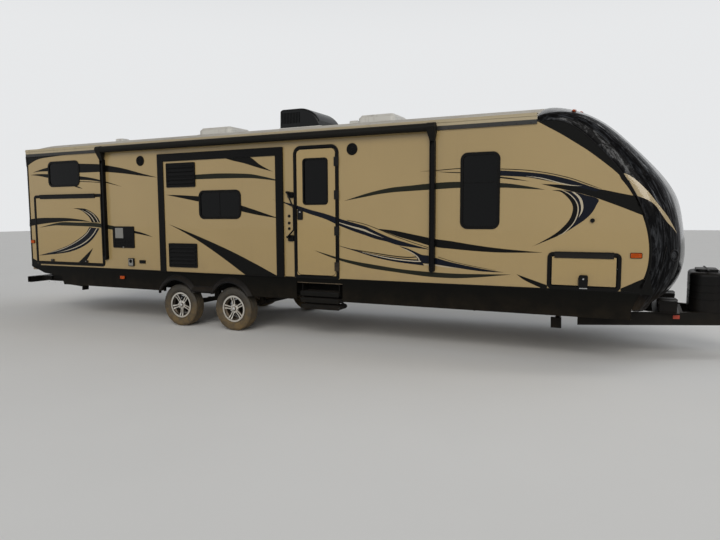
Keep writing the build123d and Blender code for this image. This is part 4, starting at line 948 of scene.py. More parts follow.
def add_lamp(name, kind, energy, aim, colour=(1.0, 1.0, 1.0)):
    """Lamp turned to shine along a direction."""
    data = bpy.data.lights.new(name, kind)
    data.energy = energy
    data.color = colour
    lamp = new_object(name, data)
    lamp.rotation_euler = aim.to_track_quat("-Z", "Y").to_euler()
    return lamp


def add_panel_light(name, place, target, width, height, power):
    """Soft box that the camera can't see."""
    lamp = add_lamp(name, "AREA", power, Vector(target) - Vector(place))
    lamp.data.shape = "RECTANGLE"
    lamp.data.size = width
    lamp.data.size_y = height
    lamp.location = place
    lamp.visible_camera = False


def add_sun(name, strength, angle, aim, colour):
    """Wide soft sun that shines along a direction."""
    lamp = add_lamp(name, "SUN", strength, Vector(aim), colour)
    lamp.data.angle = math.radians(angle)


# Painted stripes. Each edge is a line of pixels of the photograph. One without a carrier is on the
# off side alone.
# Columns: finish, carriers, upper edge, lower edge
STRIPES = [
    (PAINT_BLACK, "wall", [(25.5, 156.9), (58.7, 153.6), (93.6, 151.4)],
     [(26.5, 167), (33, 161.9), (40.4, 158.7), (51.4, 156.9), (67.9, 154.6), (93.6, 152.2)]),
    (PAINT_BLACK, "wall", [(33, 172.5), (40.4, 169.7), (48.6, 167.2)], [(33, 172.5), (40.4, 171.6),
      (48.6, 171.3)]),
    (PAINT_BLACK, "wall", [(30.3, 175.1), (38.5, 174.1), (48.6, 174.1)], [(30.3, 175.1), (38.5, 176),
      (48.6, 178)]),
    (PAINT_BLACK, "wall", [(78, 163.6), (99, 164.2), (106, 165.2), (123, 168.4), (141.4, 173.4),
      (158, 177.6)],
     [(78, 172.8), (99, 172), (106, 172), (123, 173.4), (141.4, 175.7), (158, 177.6)]),
    (PAINT_BLACK, "wall", [(79, 176.1), (91.8, 178), (106, 181.6), (122, 186.7)],
     [(79, 179.8), (91.8, 180.5), (106, 182.9), (122, 186.7)]),
    (PAINT_BLACK, "wall", [(79, 181), (92, 181.6), (102, 182.3)], [(79, 181.7), (92, 182.3), (102, 182.9)]),
    (PAINT_BLACK, "wall", [(74, 185.5), (78.5, 186.6), (82.8, 188.7)], [(74, 186.3), (78, 187.8),
      (82.8, 188.7)]),
    (PAINT_BLACK, "wall kitchen", [(29.6, 219.3), (40.4, 218), (54.1, 217.8), (67.9, 218.1),
      (81.7, 219.8), (91.8, 222.1)],
     [(29.6, 226.4), (40.4, 224.2), (54.1, 222.5), (67.9, 221.2), (81.7, 221.4), (91.8, 222.1)]),
    (PAINT_OLIVE, "wall kitchen", [(39.4, 227.6), (54.1, 223.5), (63.3, 222.1), (77.1, 222.5),
      (95.5, 222.9), (114, 226)],
     [(39.4, 227.6), (54.1, 225.5), (63.3, 225.6), (77.1, 226), (95.5, 227), (114, 229.9)]),
    (PAINT_BLACK, "wall", [(133, 230.4), (143.2, 233.1), (153.3, 237.1)], [(133, 233), (143.2, 234.9),
      (153.3, 237.1)]),
    (PAINT_BLACK, "", [(113.9, 226), (123.5, 228.2), (133, 230.4)], [(113.9, 229.9), (123.5, 231.4),
      (133, 233)]),
    (PAINT_BLACK, "kitchen", [(73.4, 208.3), (80, 208.3), (86.3, 209.2), (93.6, 213.4), (98, 218),
      (100.4, 222.6)],
     [(73.4, 208.3), (80.8, 210.2), (86.3, 214.3), (89, 217), (90.9, 220.3), (91.8, 222.4)]),
    (PAINT_NAVY, "kitchen", [(99.6, 228.4), (95.5, 235.4), (90, 241.8), (81.7, 247.3), (72.5, 251),
      (61.5, 253.3), (38.5, 255.6)],
     [(89.4, 227.2), (85.4, 233.6), (77.1, 240), (67.9, 245.5), (58.7, 249.2), (49.6, 252.4),
      (38.5, 255.6)]),
    (PAINT_SILVER, "kitchen", [(82, 210), (88, 213.2), (92, 217), (95, 222)], [(82, 210.2), (87.6, 213.7),
      (91.4, 217.4), (94.2, 222)]),
    (PAINT_SILVER, "kitchen", [(86, 209.8), (92.5, 213.6), (96.3, 218), (98.6, 222.4)],
     [(86, 210), (92.1, 214), (95.8, 218.4), (98, 222.4)]),
    (PAINT_SILVER, "kitchen", [(97.4, 228.2), (93.6, 234.5), (88, 240.5), (79.5, 246), (68, 250.4),
      (57, 252.6)],
     [(96.6, 228.2), (92.8, 234.2), (87.2, 240), (78.8, 245.4), (67.6, 249.9), (57, 252.6)]),
    (PAINT_SILVER, "kitchen", [(91, 228), (86.4, 234.6), (78.4, 241), (68.4, 246.6), (58.7, 250.4),
      (46, 253.6)],
     [(90.4, 228), (85.8, 234.2), (77.9, 240.5), (68, 246.1), (58.4, 249.9), (46, 253.6)]),
    (PAINT_BLACK, "kitchen", [(93.2, 247.8), (86.3, 254.7), (80.8, 260.2), (75.3, 265.4)],
     [(93.2, 247.8), (90, 254.7), (86.3, 261.1), (83.1, 265.8)]),
    (PAINT_BLACK, "wall", [(32, 257.6), (36, 260), (41, 262.6)], [(32, 266), (36, 266), (41, 266)]),
    (PAINT_BLACK, "slide", [(246, 155), (252, 158.3), (259.4, 164.3), (266, 168.2), (272.9, 171.7)],
     [(219, 156), (231, 160.2), (243.4, 163.1), (258, 167.6), (272.9, 171.7)]),
    (PAINT_OLIVE, "slide", [(195, 174.7), (220.4, 173.4), (248, 173.9), (262, 176.2), (278.5, 180)],
     [(195, 179.4), (220.4, 178.5), (248, 178.1), (262, 179), (278.5, 181)]),
    (PAINT_BLACK, "slide", [(165.6, 194.8), (180, 195.2), (202, 196.5)], [(165.6, 194.8), (180, 197.7),
      (202, 202.3)]),
    (PAINT_BLACK, "slide", [(241, 205.3), (258, 211), (278.5, 218.2)], [(241, 211.3), (258, 215),
      (278.5, 218.4)]),
    (PAINT_BLACK, "slide", [(168.6, 224), (199, 236.6), (230, 250.6), (255, 263.5), (278.5, 276.5)],
     [(168.6, 224), (184, 232.3), (200, 241.8), (220.4, 256), (247.5, 276.5)]),
    (PAINT_NAVY, "slide wall entry", [(272.6, 199.3), (284.7, 202.2), (296.2, 205.2), (309.9, 209.7),
      (325, 213.7),
                                      (339.5, 218.6), (355.6, 223.4), (365.6, 226.2), (372.4, 229.7),
      (383.2, 234.7),
                                      (393.9, 238.9), (409.2, 243.5), (428.5, 249)],
     [(272.6, 199.3), (284.7, 203.4), (296.2, 208.8), (309.9, 214), (325, 218.9), (339.5, 225.7),
      (355.6, 232),
      (364.8, 235.1), (375.5, 238.9), (386.2, 241.4), (397.7, 245.1), (409.2, 246.9), (428.5, 249.5)]),
    (PAINT_BLACK, "wall", [(347, 219.8), (363.3, 223.4), (378.6, 229), (393.9, 235.4), (409.2, 241),
      (428.5, 247.4)],
     [(347, 220.4), (363.3, 224.1), (378.6, 229.7), (393.9, 236.1), (409.2, 241.7), (428.5, 248)]),
    (PAINT_SILVER, "wall", [(339, 222.3), (351.8, 226), (363.3, 229), (372.4, 233), (384, 238)],
     [(339, 223), (351.8, 227.4), (363.3, 230.9), (372.4, 234.2), (384, 238)]),
    (PAINT_BLACK, "wall", [(379, 228.9), (393.9, 230.5), (409.2, 233.6), (434.9, 238.9), (450.8, 241.1),
      (476.7, 245.4),
                           (502.5, 248.8), (542.1, 252.5)],
     [(379, 229.2), (390, 233.6), (401.5, 237.6), (416.8, 241.8), (434.9, 246.9), (450.8, 248.8),
      (476.7, 251.2),
      (502.5, 252.6), (542.1, 252.6)]),
    (PAINT_NAVY, "wall", [(339, 245.7), (355.6, 249.9), (374.7, 254.3), (393.9, 257.3), (409.2, 259),
      (421, 259.6)],
     [(339, 246), (355.6, 251.2), (374.7, 257.3), (393.9, 261.5), (409.2, 263.7), (424, 265.6)]),
    (PAINT_SILVER, "wall", [(362, 252), (380, 256), (395, 258.7), (412, 260.6), (421, 260.9)],
     [(362, 252.3), (380, 256.8), (395, 259.7), (412, 261.6), (421, 261.9)]),
    (PAINT_BLACK, "wall", [(350, 248.6), (374.7, 252.6), (393.9, 255.6), (408, 256.8), (416, 256.4)],
     [(350, 248.8), (374.7, 253.6), (393.9, 256.6), (408, 257.9), (417, 257.4)]),
    (PAINT_NAVY, "wall", [(399.6, 246.2), (408, 248.6), (416, 252.2), (422, 254.8), (428.5, 255.6),
      (434.9, 257.5),
                          (450.8, 262.2), (476.7, 267.8), (490, 270.2), (503.3, 272.3)],
     [(399.6, 246.4), (406, 249.8), (412, 253.4), (416.6, 257.2), (420, 262.6), (434.9, 264.3),
      (450.8, 266.9),
      (476.7, 270.8), (490, 271.9), (503.3, 272.4)]),
    (PAINT_SILVER, "wall", [(402, 247.8), (408, 250.3), (414.6, 254), (418.6, 257.6), (420, 261)],
     [(402, 248), (407.6, 250.8), (413.9, 254.5), (417.6, 257.9), (419, 261)]),
    (PAINT_SILVER, "wall", [(424, 264.2), (434.9, 264.8), (446.5, 266.5), (461, 268.4)],
     [(424, 264.9), (434.9, 265.7), (446.5, 267.3), (461, 268.4)]),
    (PAINT_BLACK, "wall", [(438, 256.6), (455, 261.9), (476, 266.5), (496, 270.4)],
     [(438, 257.2), (455, 262.4), (476, 267), (496, 270.6)]),
    (PAINT_OLIVE, "wall entry", [(314.4, 250.3), (325, 253.6), (339.9, 258), (355.6, 261.5), (370.9, 264.2),
                                 (401.5, 269.2), (427.9, 271.8), (450.8, 273.4), (468, 274),
      (485.3, 274.2), (510.6, 274.5)],
     [(314.4, 250.3), (325, 255), (339.9, 260.5), (355.6, 264.9), (370.9, 268.4), (401.5, 273),
      (427.9, 276.6),
      (450.8, 278.1), (468, 277.9), (485.3, 276.8), (510.6, 274.6)]),
    (PAINT_OLIVE, "wall", [(343.8, 201), (363.3, 194.5), (378.6, 190.3), (393.9, 187.3), (409.2, 185.7),
      (434.9, 183),
                           (460, 181.8), (500.3, 183), (511.1, 183.8), (528.3, 186.4), (545.5, 189.7)],
     [(343.8, 201), (363.3, 197.2), (378.6, 194.2), (393.9, 192.2), (409.2, 191.1), (434.9, 189.4),
      (460, 187.9),
      (500.3, 187.7), (511.1, 187.9), (528.3, 188.8), (545.5, 189.7)]),
    (PAINT_BLACK, "wall", [(420, 171.4), (434.9, 170.2), (455.1, 168.4), (461, 168.2)],
     [(420, 171.5), (434.9, 170.9), (455.1, 169.2), (461, 169)]),
    (PAINT_BLACK, "wall", [(436, 171.6), (450, 172), (461, 172.2)], [(436, 171.7), (450, 172.8),
      (461, 173.2)]),
    (PAINT_BLACK, "wall", [(500, 168.5), (524.4, 169.6), (547.4, 172.5), (570.4, 177.7), (588.7, 184),
      (602, 189)],
     [(500, 169.3), (524.4, 170.4), (547.4, 173.3), (570.4, 178.5), (588.7, 184.8), (602, 189.2)]),
    (PAINT_NAVY, "wall", [(500, 170.4), (524.4, 171.9), (547.4, 174.5), (570.4, 179.7), (588.7, 185.8),
      (601, 189.6)],
     [(500, 175.7), (525.6, 177), (541.7, 179.7), (558.9, 183.1), (576.1, 186.6), (596, 191.4)]),
    (PAINT_SILVER, "wall", [(526, 176), (541.7, 177.8), (558.9, 182.2), (570.4, 184.7), (583, 186)],
     [(526, 176.2), (541.7, 178.7), (558.9, 183.2), (570.4, 185.6), (583, 186)]),
    (PAINT_BLACK, "wall", [(500, 176.6), (513, 178.2), (529.5, 181.3)], [(500, 178.1), (513, 179.6),
      (529.5, 181.3)]),
    (PAINT_BLACK, "wall", [(541.5, 184), (558.9, 184.6), (576, 186.2), (593.3, 188.5), (604.8, 190),
      (622, 193.5), (636, 196)],
     [(541.5, 184.1), (558.9, 188.3), (576.1, 192.3), (593.3, 196.9), (604.8, 200.9), (622, 207.2),
      (646, 216.6)]),
    (PAINT_BLACK, "wall", [(552, 190), (561.7, 190.4), (569.2, 194), (575.5, 200.9), (577.8, 207.8),
      (576.7, 215.8),
                           (572.6, 223.9), (563.5, 233.1), (532.5, 246.6)],
     [(552, 190.1), (561.2, 192.2), (568, 197.8), (571.9, 203.6), (572.8, 210.1), (569.6, 219.3),
      (561.6, 228.5),
      (552, 235.8), (532.5, 246.7)]),
    (PAINT_NAVY, "wall", [(573, 191.6), (584, 194.6), (598.2, 199), (596.8, 204.4), (592.2, 212.4),
      (585.3, 219.3),
                          (576.1, 225.6), (568, 230.8), (558.5, 235.6)],
     [(563, 190), (570.2, 194), (576.5, 200.9), (578.8, 207.8), (577.7, 215.8), (573.6, 223.9),
      (569, 228.6),
      (564.5, 232.4), (558.5, 235.6)]),
    (PAINT_SILVER, "wall", [(562, 190.2), (570.2, 194.2), (576.3, 200.9), (578.6, 207.8), (577.5, 215.8),
      (573.4, 223.9),
                            (564.2, 233.1), (557, 236)],
     [(562, 190.4), (569.4, 194.6), (575.3, 200.9), (577.6, 207.8), (576.5, 215.8), (572.4, 223.9),
      (563.4, 232.7),
      (557, 236)]),
    (PAINT_SILVER, "wall", [(574.9, 192.2), (580.7, 197.5), (583.2, 204.4), (582.6, 211), (578.6, 217.8)],
     [(571.5, 191.6), (577.6, 197), (580.5, 203.5), (581, 210.5), (578.6, 217.8)]),
    (PAINT_BLACK, "wall", [(516.3, 274.1), (528.3, 278.5), (547, 285.2)], [(516.3, 274.1), (526, 281.0),
      (549, 291.5)]),
    (PAINT_BLACK, "wall", [(619.5, 289), (633.5, 283), (645, 277.8), (650, 273.5)],
     [(619.5, 293), (633.5, 294), (645, 295), (653, 296)]),
]
CAP_STRIPE = (
    [(620.4, 172.4), (627.8, 174.5), (635.8, 179.7), (647.3, 190.6), (656.5, 202), (668, 217),
      (676.8, 233)],
    [(633.4, 195.2), (640.4, 196.9), (649.6, 200.9), (656.5, 206.7), (666.8, 221.6), (672, 227),
      (676.8, 233.2)],
)
PAINT_HEIGHTS = {PAINT_BLACK: 0.0008, PAINT_OLIVE: 0.0011, PAINT_NAVY: 0.0013, PAINT_SILVER: 0.0017}

WALL_OPENINGS = [ENTRY_FRAME, KITCHEN_FRAME, BUNK_WINDOW, FRONT_WINDOW, BAGGAGE_FRAME, SLIDE_OPENING]
OFF_OPENINGS = [BUNK_WINDOW, FRONT_WINDOW, BAGGAGE_FRAME, DINETTE_WINDOW, GALLEY_WINDOW]
# Carriers of paint: plane, body, rectangle kept, rectangles left bare
CARRIERS = {
    "wall": (-HALF, "root", None, WALL_OPENINGS),
    "entry": (LEAF_FACE, "entry_door", ENTRY_LEAF, [ENTRY_WINDOW]),
    "kitchen": (LEAF_FACE, "kitchen_door", KITCHEN_LEAF, []),
    "slide": (SLIDE_FACE, "slide_out", SLIDE_PANEL, [SLIDE_WINDOW]),
}
FRAME_LAP = 0.003


CURVE_STEPS = 16


def smooth_line(points, steps):
    """Even samples along a smooth curve through the points, by Catmull-Rom spans."""
    spots = [Vector(p) for p in points]
    ends = [spots[0] * 2 - spots[1]] + spots + [spots[-1] * 2 - spots[-2]]
    fine = []
    for a, b, c, d in zip(ends, ends[1:], ends[2:], ends[3:]):
        for k in range(CURVE_STEPS):
            t = k / CURVE_STEPS
            square = 2 * a - 5 * b + 4 * c - d
            cube = 3 * b - a - 3 * c + d
            fine.append(0.5 * (2 * b + (c - a) * t + square * t * t + cube * t**3))
    fine.append(spots[-1])
    lengths = [0.0]
    for a, b in zip(fine, fine[1:]):
        lengths.append(lengths[-1] + (b - a).length)
    made = []
    span = 0
    for k in range(steps + 1):
        reach = lengths[-1] * k / steps
        while span < len(fine) - 2 and lengths[span + 1] < reach:
            span += 1
        gap = lengths[span + 1] - lengths[span]
        share = (reach - lengths[span]) / gap if gap > 0 else 0
        made.append(fine[span].lerp(fine[span + 1], min(max(share, 0), 1)))
    return made


def ribbon(upper, lower, place, steps=40, across=1):
    """Strip of faces between two edges of pixels, each point put in its place by a function."""
    bm = bmesh.new()
    rows = []
    for a, b in zip(smooth_line(upper, steps), smooth_line(lower, steps)):
        rows.append([bm.verts.new(place(*a.lerp(b, k / across))) for k in range(across + 1)])
    for row, after in zip(rows, rows[1:]):
        for k in range(across):
            bm.faces.new((row[k], after[k], after[k + 1], row[k + 1]))
    bmesh.ops.remove_doubles(bm, verts=bm.verts, dist=0.0002)
    return bm


def inside(place, rectangle):
    """Whether a place lies in a rectangle of X and Z."""
    x0, x1, z0, z1 = rectangle
    return x0 < place.x < x1 and z0 < place.z < z1


def trim_paint(bm, kept, bare):
    """Cut flat paint to the rectangle kept and clear the bare ones."""
    for x0, x1, z0, z1 in bare + ([kept] if kept else []):
        cuts = [((x, 0, 0), (1, 0, 0)) for x in (x0, x1)] + [((0, 0, z), (0, 0, 1)) for z in (z0, z1)]
        for place, normal in cuts:
            parts = bm.verts[:] + bm.edges[:] + bm.faces[:]
            bmesh.ops.bisect_plane(bm, geom=parts, plane_co=place, plane_no=normal, dist=1e-6)
    gone = []
    for face in bm.faces:
        middle = face.calc_center_median()
        outside = kept and not inside(middle, kept)
        if outside or any(inside(middle, rectangle) for rectangle in bare):
            gone.append(face)
    bmesh.ops.delete(bm, geom=gone, context="FACES")


def lapped(rectangle, lap):
    """Rectangle in metres, drawn in by a lap on every side."""
    x0, x1, z0, z1 = metres(rectangle)
    return x0 + lap, x1 - lap, z0 + lap, z1 - lap


def thicken_paint(bm, depth):
    """Closed thin slab from a flat strip, raised towards -Y."""
    made = bmesh.ops.extrude_face_region(bm, geom=bm.faces[:])
    moved = [v for v in made["geom"] if isinstance(v, bmesh.types.BMVert)]
    bmesh.ops.translate(bm, verts=moved, vec=(0, -depth, 0))
    bmesh.ops.recalc_face_normals(bm, faces=bm.faces)


def paint_strip(finish, upper, lower, carrier, bare=None):
    """Mesh of one stripe on one carrier, or None where none of it is left."""
    plane, _, kept, own_bare = CARRIERS[carrier]
    bm = ribbon(upper, lower, lambda u, v: on_side(u, v, plane))
    rectangles = [lapped(r, FRAME_LAP) for r in (own_bare if bare is None else bare)]
    trim_paint(bm, lapped(kept, 0.0) if kept else None, rectangles)
    if not bm.faces:
        bm.free()
        return None
    thicken_paint(bm, PAINT_HEIGHTS[finish])
    return mesh_from(bm, "stripe")


def paint_sides():
    """All stripes, joined by finish and carrier, and their mirror image on the off side."""
    groups = {}
    for finish, carriers, upper, lower in STRIPES:
        for carrier in carriers.split():
            mesh = paint_strip(finish, upper, lower, carrier)
            if mesh:
                groups.setdefault((finish, carrier, "camp"), []).append(mesh)
        mesh = paint_strip(finish, upper, lower, "wall", OFF_OPENINGS)
        if mesh and "slide" not in carriers.split():
            groups.setdefault((finish, "wall", "off"), []).append(mirrored(mesh, "stripe"))
    for (finish, carrier, side), meshes in groups.items():
        name = finish.name.replace(" ", "_") + "_" + carrier + "_" + side
        add_piece(name, joined(meshes, name), finish, CARRIERS[carrier][1])


def surface_of(node):
    """Search tree of a CAD node's skin."""
    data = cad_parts[node].data
    corners = [v.co.copy() for v in data.vertices]
    return BVHTree.FromPolygons(corners, [tuple(p.vertices) for p in data.polygons])


def hit(surface, start, heading):
    """Spot where a ray meets a surface, and the surface's normal there, turned towards the ray's start."""
    spot, normal, _, _ = surface.ray_cast(start, heading)
    if spot is not None and normal.dot(heading) > 0:
        normal = -normal
    return spot, normal


STRAIGHT_DOWN = Vector((0, 0, -1))
CAP = surface_of("front_cap")
CAP_STRIPE_HEART = Vector((641.0, 190.0))
RAY_STEPS = 200


def on_cap(u, v, proud=0.0):
    """Place on the cap at a pixel. A pixel past its outline is led towards the middle of the stripe."""
    pixel = Vector((u, v))
    for k in range(RAY_STEPS):
        ray = photo_ray(*pixel.lerp(CAP_STRIPE_HEART, k / RAY_STEPS))
        spot, normal = hit(CAP, CAMERA_PLACE, ray)
        if spot is not None:
            return spot + normal * proud
    raise ValueError("The cap isn't where the photograph shows it")


CAP_PAINT_PROUD = 0.0012
CAP_PAINT_SUNK = 0.004
CAP_PAINT_STEPS = 48
CAP_PAINT_ROWS = 10


def paint_cap():
    """Tan sweep that runs from the wall over the cap's corner, on both sides."""
    sheets = []
    for proud in (CAP_PAINT_PROUD, -CAP_PAINT_SUNK):
        strip = ribbon(*CAP_STRIPE, lambda u, v: on_cap(u, v, proud), CAP_PAINT_STEPS, CAP_PAINT_ROWS)
        if proud < 0:
            bmesh.ops.reverse_faces(strip, faces=strip.faces)
        sheets.append(mesh_from(strip, "sheet"))
    bm = bmesh.new()
    bm.from_mesh(joined(sheets, "sheets"))
    loose = [e for e in bm.edges if e.is_boundary]
    bmesh.ops.bridge_loops(bm, edges=loose)
    bmesh.ops.recalc_face_normals(bm, faces=bm.faces)
    camp = mesh_from(bm, "cap_stripe_camp", smooth=False)
    add_piece("cap_stripe_off", mirrored(camp, "cap_stripe_off"), PAINT_TAN)
    add_piece("cap_stripe_camp", camp, PAINT_TAN)


FACE_TOLERANCE = 0.0001
EDGE_REAR = 8640
EDGE_BOTTOM = 0.86
EDGE_STEP = 0.004
DOOR_HOLE_MARGIN = 0.005


def wall_front_edge():
    """Camp wall's curved front edge, from the bottom up, as points of its outer face."""
    spots = set()
    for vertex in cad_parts["wall_camp_side"].data.vertices:
        place = vertex.co
        if abs(place.y + HALF) < FACE_TOLERANCE and place.x > at(EDGE_REAR) and place.z > EDGE_BOTTOM:
            spots.add((round(place.x, 4), round(place.z, 4)))
    edge = []
    for x, z in sorted(spots, key=lambda p: p[1]):
        if inside(Vector((x, 0, z)), lapped(BAGGAGE_FRAME, -DOOR_HOLE_MARGIN)):
            continue
        while edge and abs(z - edge[-1][1]) < EDGE_STEP and x > edge[-1][0]:
            edge.pop()
        if not edge or z - edge[-1][1] >= EDGE_STEP:
            edge.append((x, z))
    return edge


# Black edge paint behind the cap's seam: heights and widths, and above them its inner edge in pixels
EDGE_WIDTHS = [(0.86, 0.030), (1.04, 0.026), (1.38, 0.020), (1.75, 0.022), (2.0, 0.030), (2.14, 0.045)]
EDGE_LINE = [
    (619, 174.5), (610, 166.8), (590, 151.8), (575, 142.3), (560, 133.3), (548, 127), (538, 121.5),
    (530, 117.5),
]
EDGE_SAMPLES = 24
EDGE_LAP = 0.001
RAIL_FOOT = 2.7645
BEAD_RADIUS = 0.006
BEAD_AHEAD = 0.003
BEAD_PROUD = 0.0005


def edge_width(z):
    """Width of the edge paint at a height, between the given widths."""
    for (z0, w0), (z1, w1) in zip(EDGE_WIDTHS, EDGE_WIDTHS[1:]):
        if z <= z1:
            return w0 + (w1 - w0) * max(z - z0, 0) / (z1 - z0)
    return EDGE_WIDTHS[-1][1]


def edge_rows(bm, edge):
    """Pairs of points across the edge paint: by its width low down, by its inner line in pixels above."""
    rows = []
    top = EDGE_WIDTHS[-1][0]
    for k, (x, z) in enumerate(edge):
        if z > top:
            break
        before = Vector(edge[max(k - 1, 0)])
        after = Vector(edge[min(k + 1, len(edge) - 1)])
        along = (after - before).normalized()
        inward = Vector((-along.y, along.x)) * edge_width(z)
        if inward.x > 0:
            inward = -inward
        outer = bm.verts.new((x - EDGE_LAP, -HALF, z))
        rows.append((outer, bm.verts.new((x + inward.x, -HALF, z + inward.y))))
    line = [on_side(u, v, -HALF) for u, v in EDGE_LINE]
    inner_line = smooth_line([(p.x, p.z) for p in line], EDGE_SAMPLES)
    outer_line = smooth_line([(x - EDGE_LAP, z) for x, z in edge if z > top], EDGE_SAMPLES)
    for a, b in zip(outer_line, inner_line):
        outer = bm.verts.new((a.x, -HALF, a.y))
        rows.append((outer, bm.verts.new((b.x, -HALF, min(b.y, RAIL_FOOT)))))
    return rows


def paint_cap_edge():
    """Black paint along the wall's front edge and a rubber bead over the seam."""
    edge = wall_front_edge()
    bm = bmesh.new()
    rows = edge_rows(bm, edge)
    for (a, b), (c, d) in zip(rows, rows[1:]):
        bm.faces.new((a, b, d, c))
    trim_paint(bm, None, [lapped(BAGGAGE_FRAME, FRAME_LAP)])
    thicken_paint(bm, PAINT_HEIGHTS[PAINT_BLACK])
    on_sides("cap_edge_paint", mesh_from(bm, "paint"), PAINT_BLACK)
    seam = [(x + BEAD_AHEAD, -HALF - BEAD_PROUD, z) for x, z in edge]
    on_sides("cap_seam_bead", swept(seam, BEAD_RADIUS, "bead"), RUBBER)


# Wheels
TREAD_GROOVES = (-0.052, -0.018, 0.018, 0.052)
GROOVE_HALF = 0.004
GROOVE_FLOOR_HALF = 0.0028
GROOVE_DEPTH = 0.007
TREAD_CLEARANCE = 0.0012
TREAD_CROWN = 0.03
# Half of the casing's section from the bead to the shoulder, as radius and place across the tyre
SIDEWALL = [
    (0.1835, 0.066), (0.199, 0.0705), (0.206, 0.0715), (0.213, 0.080), (0.222, 0.0885), (0.231, 0.094),
    (0.234, 0.0965), (0.237, 0.0957), (0.252, 0.0993), (0.262, 0.1005), (0.274, 0.100), (0.287, 0.0975),
    (0.290, 0.0985), (0.293, 0.0965), (0.304, 0.0925), (0.3125, 0.088), (0.3195, 0.081), (0.3235, 0.074),
]
CASING_STEPS = 120
# Tread blocks on the shoulders
BLOCKS_AROUND = 64
BLOCK_RADIUS = 0.3185
BLOCK_ROW = 0.078
BLOCK_HALF = 0.0085
BLOCK_DEPTHS = (-0.008, 0.0035)
BLOCK_BEVEL = 0.0015
BLOCK_RAKE = math.radians(24)
BLOCK_STAGGER = 0.02


def tyre_profile():
    """Radius and place across the tyre, round one closed section."""
    across = []
    for centre in reversed(TREAD_GROOVES):
        top = WHEEL_RADIUS - TREAD_CLEARANCE - abs(centre) * TREAD_CROWN
        across += [(top, centre + GROOVE_HALF), (top - GROOVE_DEPTH, centre + GROOVE_FLOOR_HALF)]
        across += [(top - GROOVE_DEPTH, centre - GROOVE_FLOOR_HALF), (top, centre - GROOVE_HALF)]
    return SIDEWALL + across + [(r, -w) for r, w in reversed(SIDEWALL)]


def make_tyres():
    """Casing with its grooves and shoulder blocks in place of each plain tyre."""
    for end, station in AXLE_STATIONS.items():
        for side, sign in SIDES.items():
            centre = Vector((at(station), sign * WHEEL_TRACK / 2, WHEEL_RADIUS))
            parts = [mesh_from(lathe(tyre_profile(), centre, steps=CASING_STEPS), "tyre", smooth=True)]
            for row in (-1, 1):
                size = (-BLOCK_HALF, BLOCK_HALF)
                block = bar_mesh(*BLOCK_DEPTHS, *size, *size, BLOCK_BEVEL)
                block.transform(Matrix.Rotation(row * BLOCK_RAKE, 4, "Y"))
                spot = centre + Vector((0, row * BLOCK_ROW, 0))
                stagger = row * BLOCK_STAGGER
                parts.append(ring_of(block, spot, BLOCK_RADIUS, BLOCKS_AROUND, TYRE, start_angle=stagger))
            place = end + "_" + side
            name = "tyre_tread_" + place
            add_piece(name, joined(parts, name), TYRE, "wheel_" + place, ["tyre_" + place])


LUG_NUTS = 5
LUG_CIRCLE = 0.057
LUG_START = math.radians(18)
NUT_RADIUS = 0.0095
NUT_HALF = 0.006
NUT_SUNK = 0.002
HUB_FACE = 0.069
HUB_CAP_PROUD = 0.008
HUB_CAP_STEPS = 32
# Half section of the centre cap, as radius and place along its axis
HUB_CAP = [(0.0, 0.002), (0.012, 0.0015), (0.022, 0.0), (0.027, -0.004), (0.0275, -0.012), (0.0, -0.012)]
# Turn of each axle's wheels from a spoke pair at the top, to the rear
WHEEL_TURNS = {"rear": math.radians(34), "front": math.radians(10)}


def make_wheel_trim():
    """Lug nuts and centre cap of each wheel."""
    for end, station in AXLE_STATIONS.items():
        for side, sign in SIDES.items():
            face = sign * (WHEEL_TRACK / 2 + HUB_FACE)
            nut = rod_mesh((0, 0, -NUT_HALF), (0, 0, NUT_HALF), NUT_RADIUS, sides=6)
            spot = (at(station), face - sign * NUT_SUNK, WHEEL_RADIUS)
            turn = LUG_START - WHEEL_TURNS[end]
            nuts = ring_of(nut, spot, LUG_CIRCLE, LUG_NUTS, CHROME, start_angle=turn)
            spot = (at(station), face + sign * HUB_CAP_PROUD, WHEEL_RADIUS)
            cap = mesh_from(lathe(HUB_CAP, spot, side=sign, steps=HUB_CAP_STEPS), "hub", smooth=True)
            name = "wheel_trim_" + end + "_" + side
            add_piece(name, joined([nuts, cap], name), CHROME, "wheel_" + end + "_" + side)


# Trim of doors and windows
SHARPEST_CORNER = 0.004


def framed(rectangle, radius, width, y0, y1):
    """Frame of even width inside a rounded rectangle."""
    x0, x1, z0, z1 = metres(rectangle)
    outer = rounded_outline(x0, x1, z0, z1, radius)
    corner = max(radius - width, SHARPEST_CORNER)
    inner = rounded_outline(x0 + width, x1 - width, z0 + width, z1 - width, corner)
    return ring(outer, inner, y0, y1)


ENTRY_TRIM = (5572, 5964, 1851, 2479)
ENTRY_TRIM_RADIUS = 0.05
ENTRY_TRIM_WIDTH = 0.022
ENTRY_TRIM_DEPTHS = (LEAF_FACE + 0.010, LEAF_FACE - 0.006)


def make_entry_trim():
    """Clamp ring round the entry door's window."""
    trim = framed(ENTRY_TRIM, ENTRY_TRIM_RADIUS, ENTRY_TRIM_WIDTH, *ENTRY_TRIM_DEPTHS)
    add_piece("entry_window_trim", mesh_from(trim, "entry_window_trim"), TRIM_BLACK, "entry_door")


BAR_HALF = 0.006
BAR_BEHIND = 0.006
BAR_PROUD = 0.001
BAR_INSET = 0.03
FRONT_BAR_HEIGHTS = (2.085, 2.097)
# Upright bars: name, window, its face, sides, body
SLIDER_BARS = [
    ("slide", SLIDE_WINDOW, SLIDE_FACE, ["camp"], "slide_out"),
    ("dinette", DINETTE_WINDOW, -HALF, ["off"], "root"),
    ("galley", GALLEY_WINDOW, -HALF, ["off"], "root"),
]


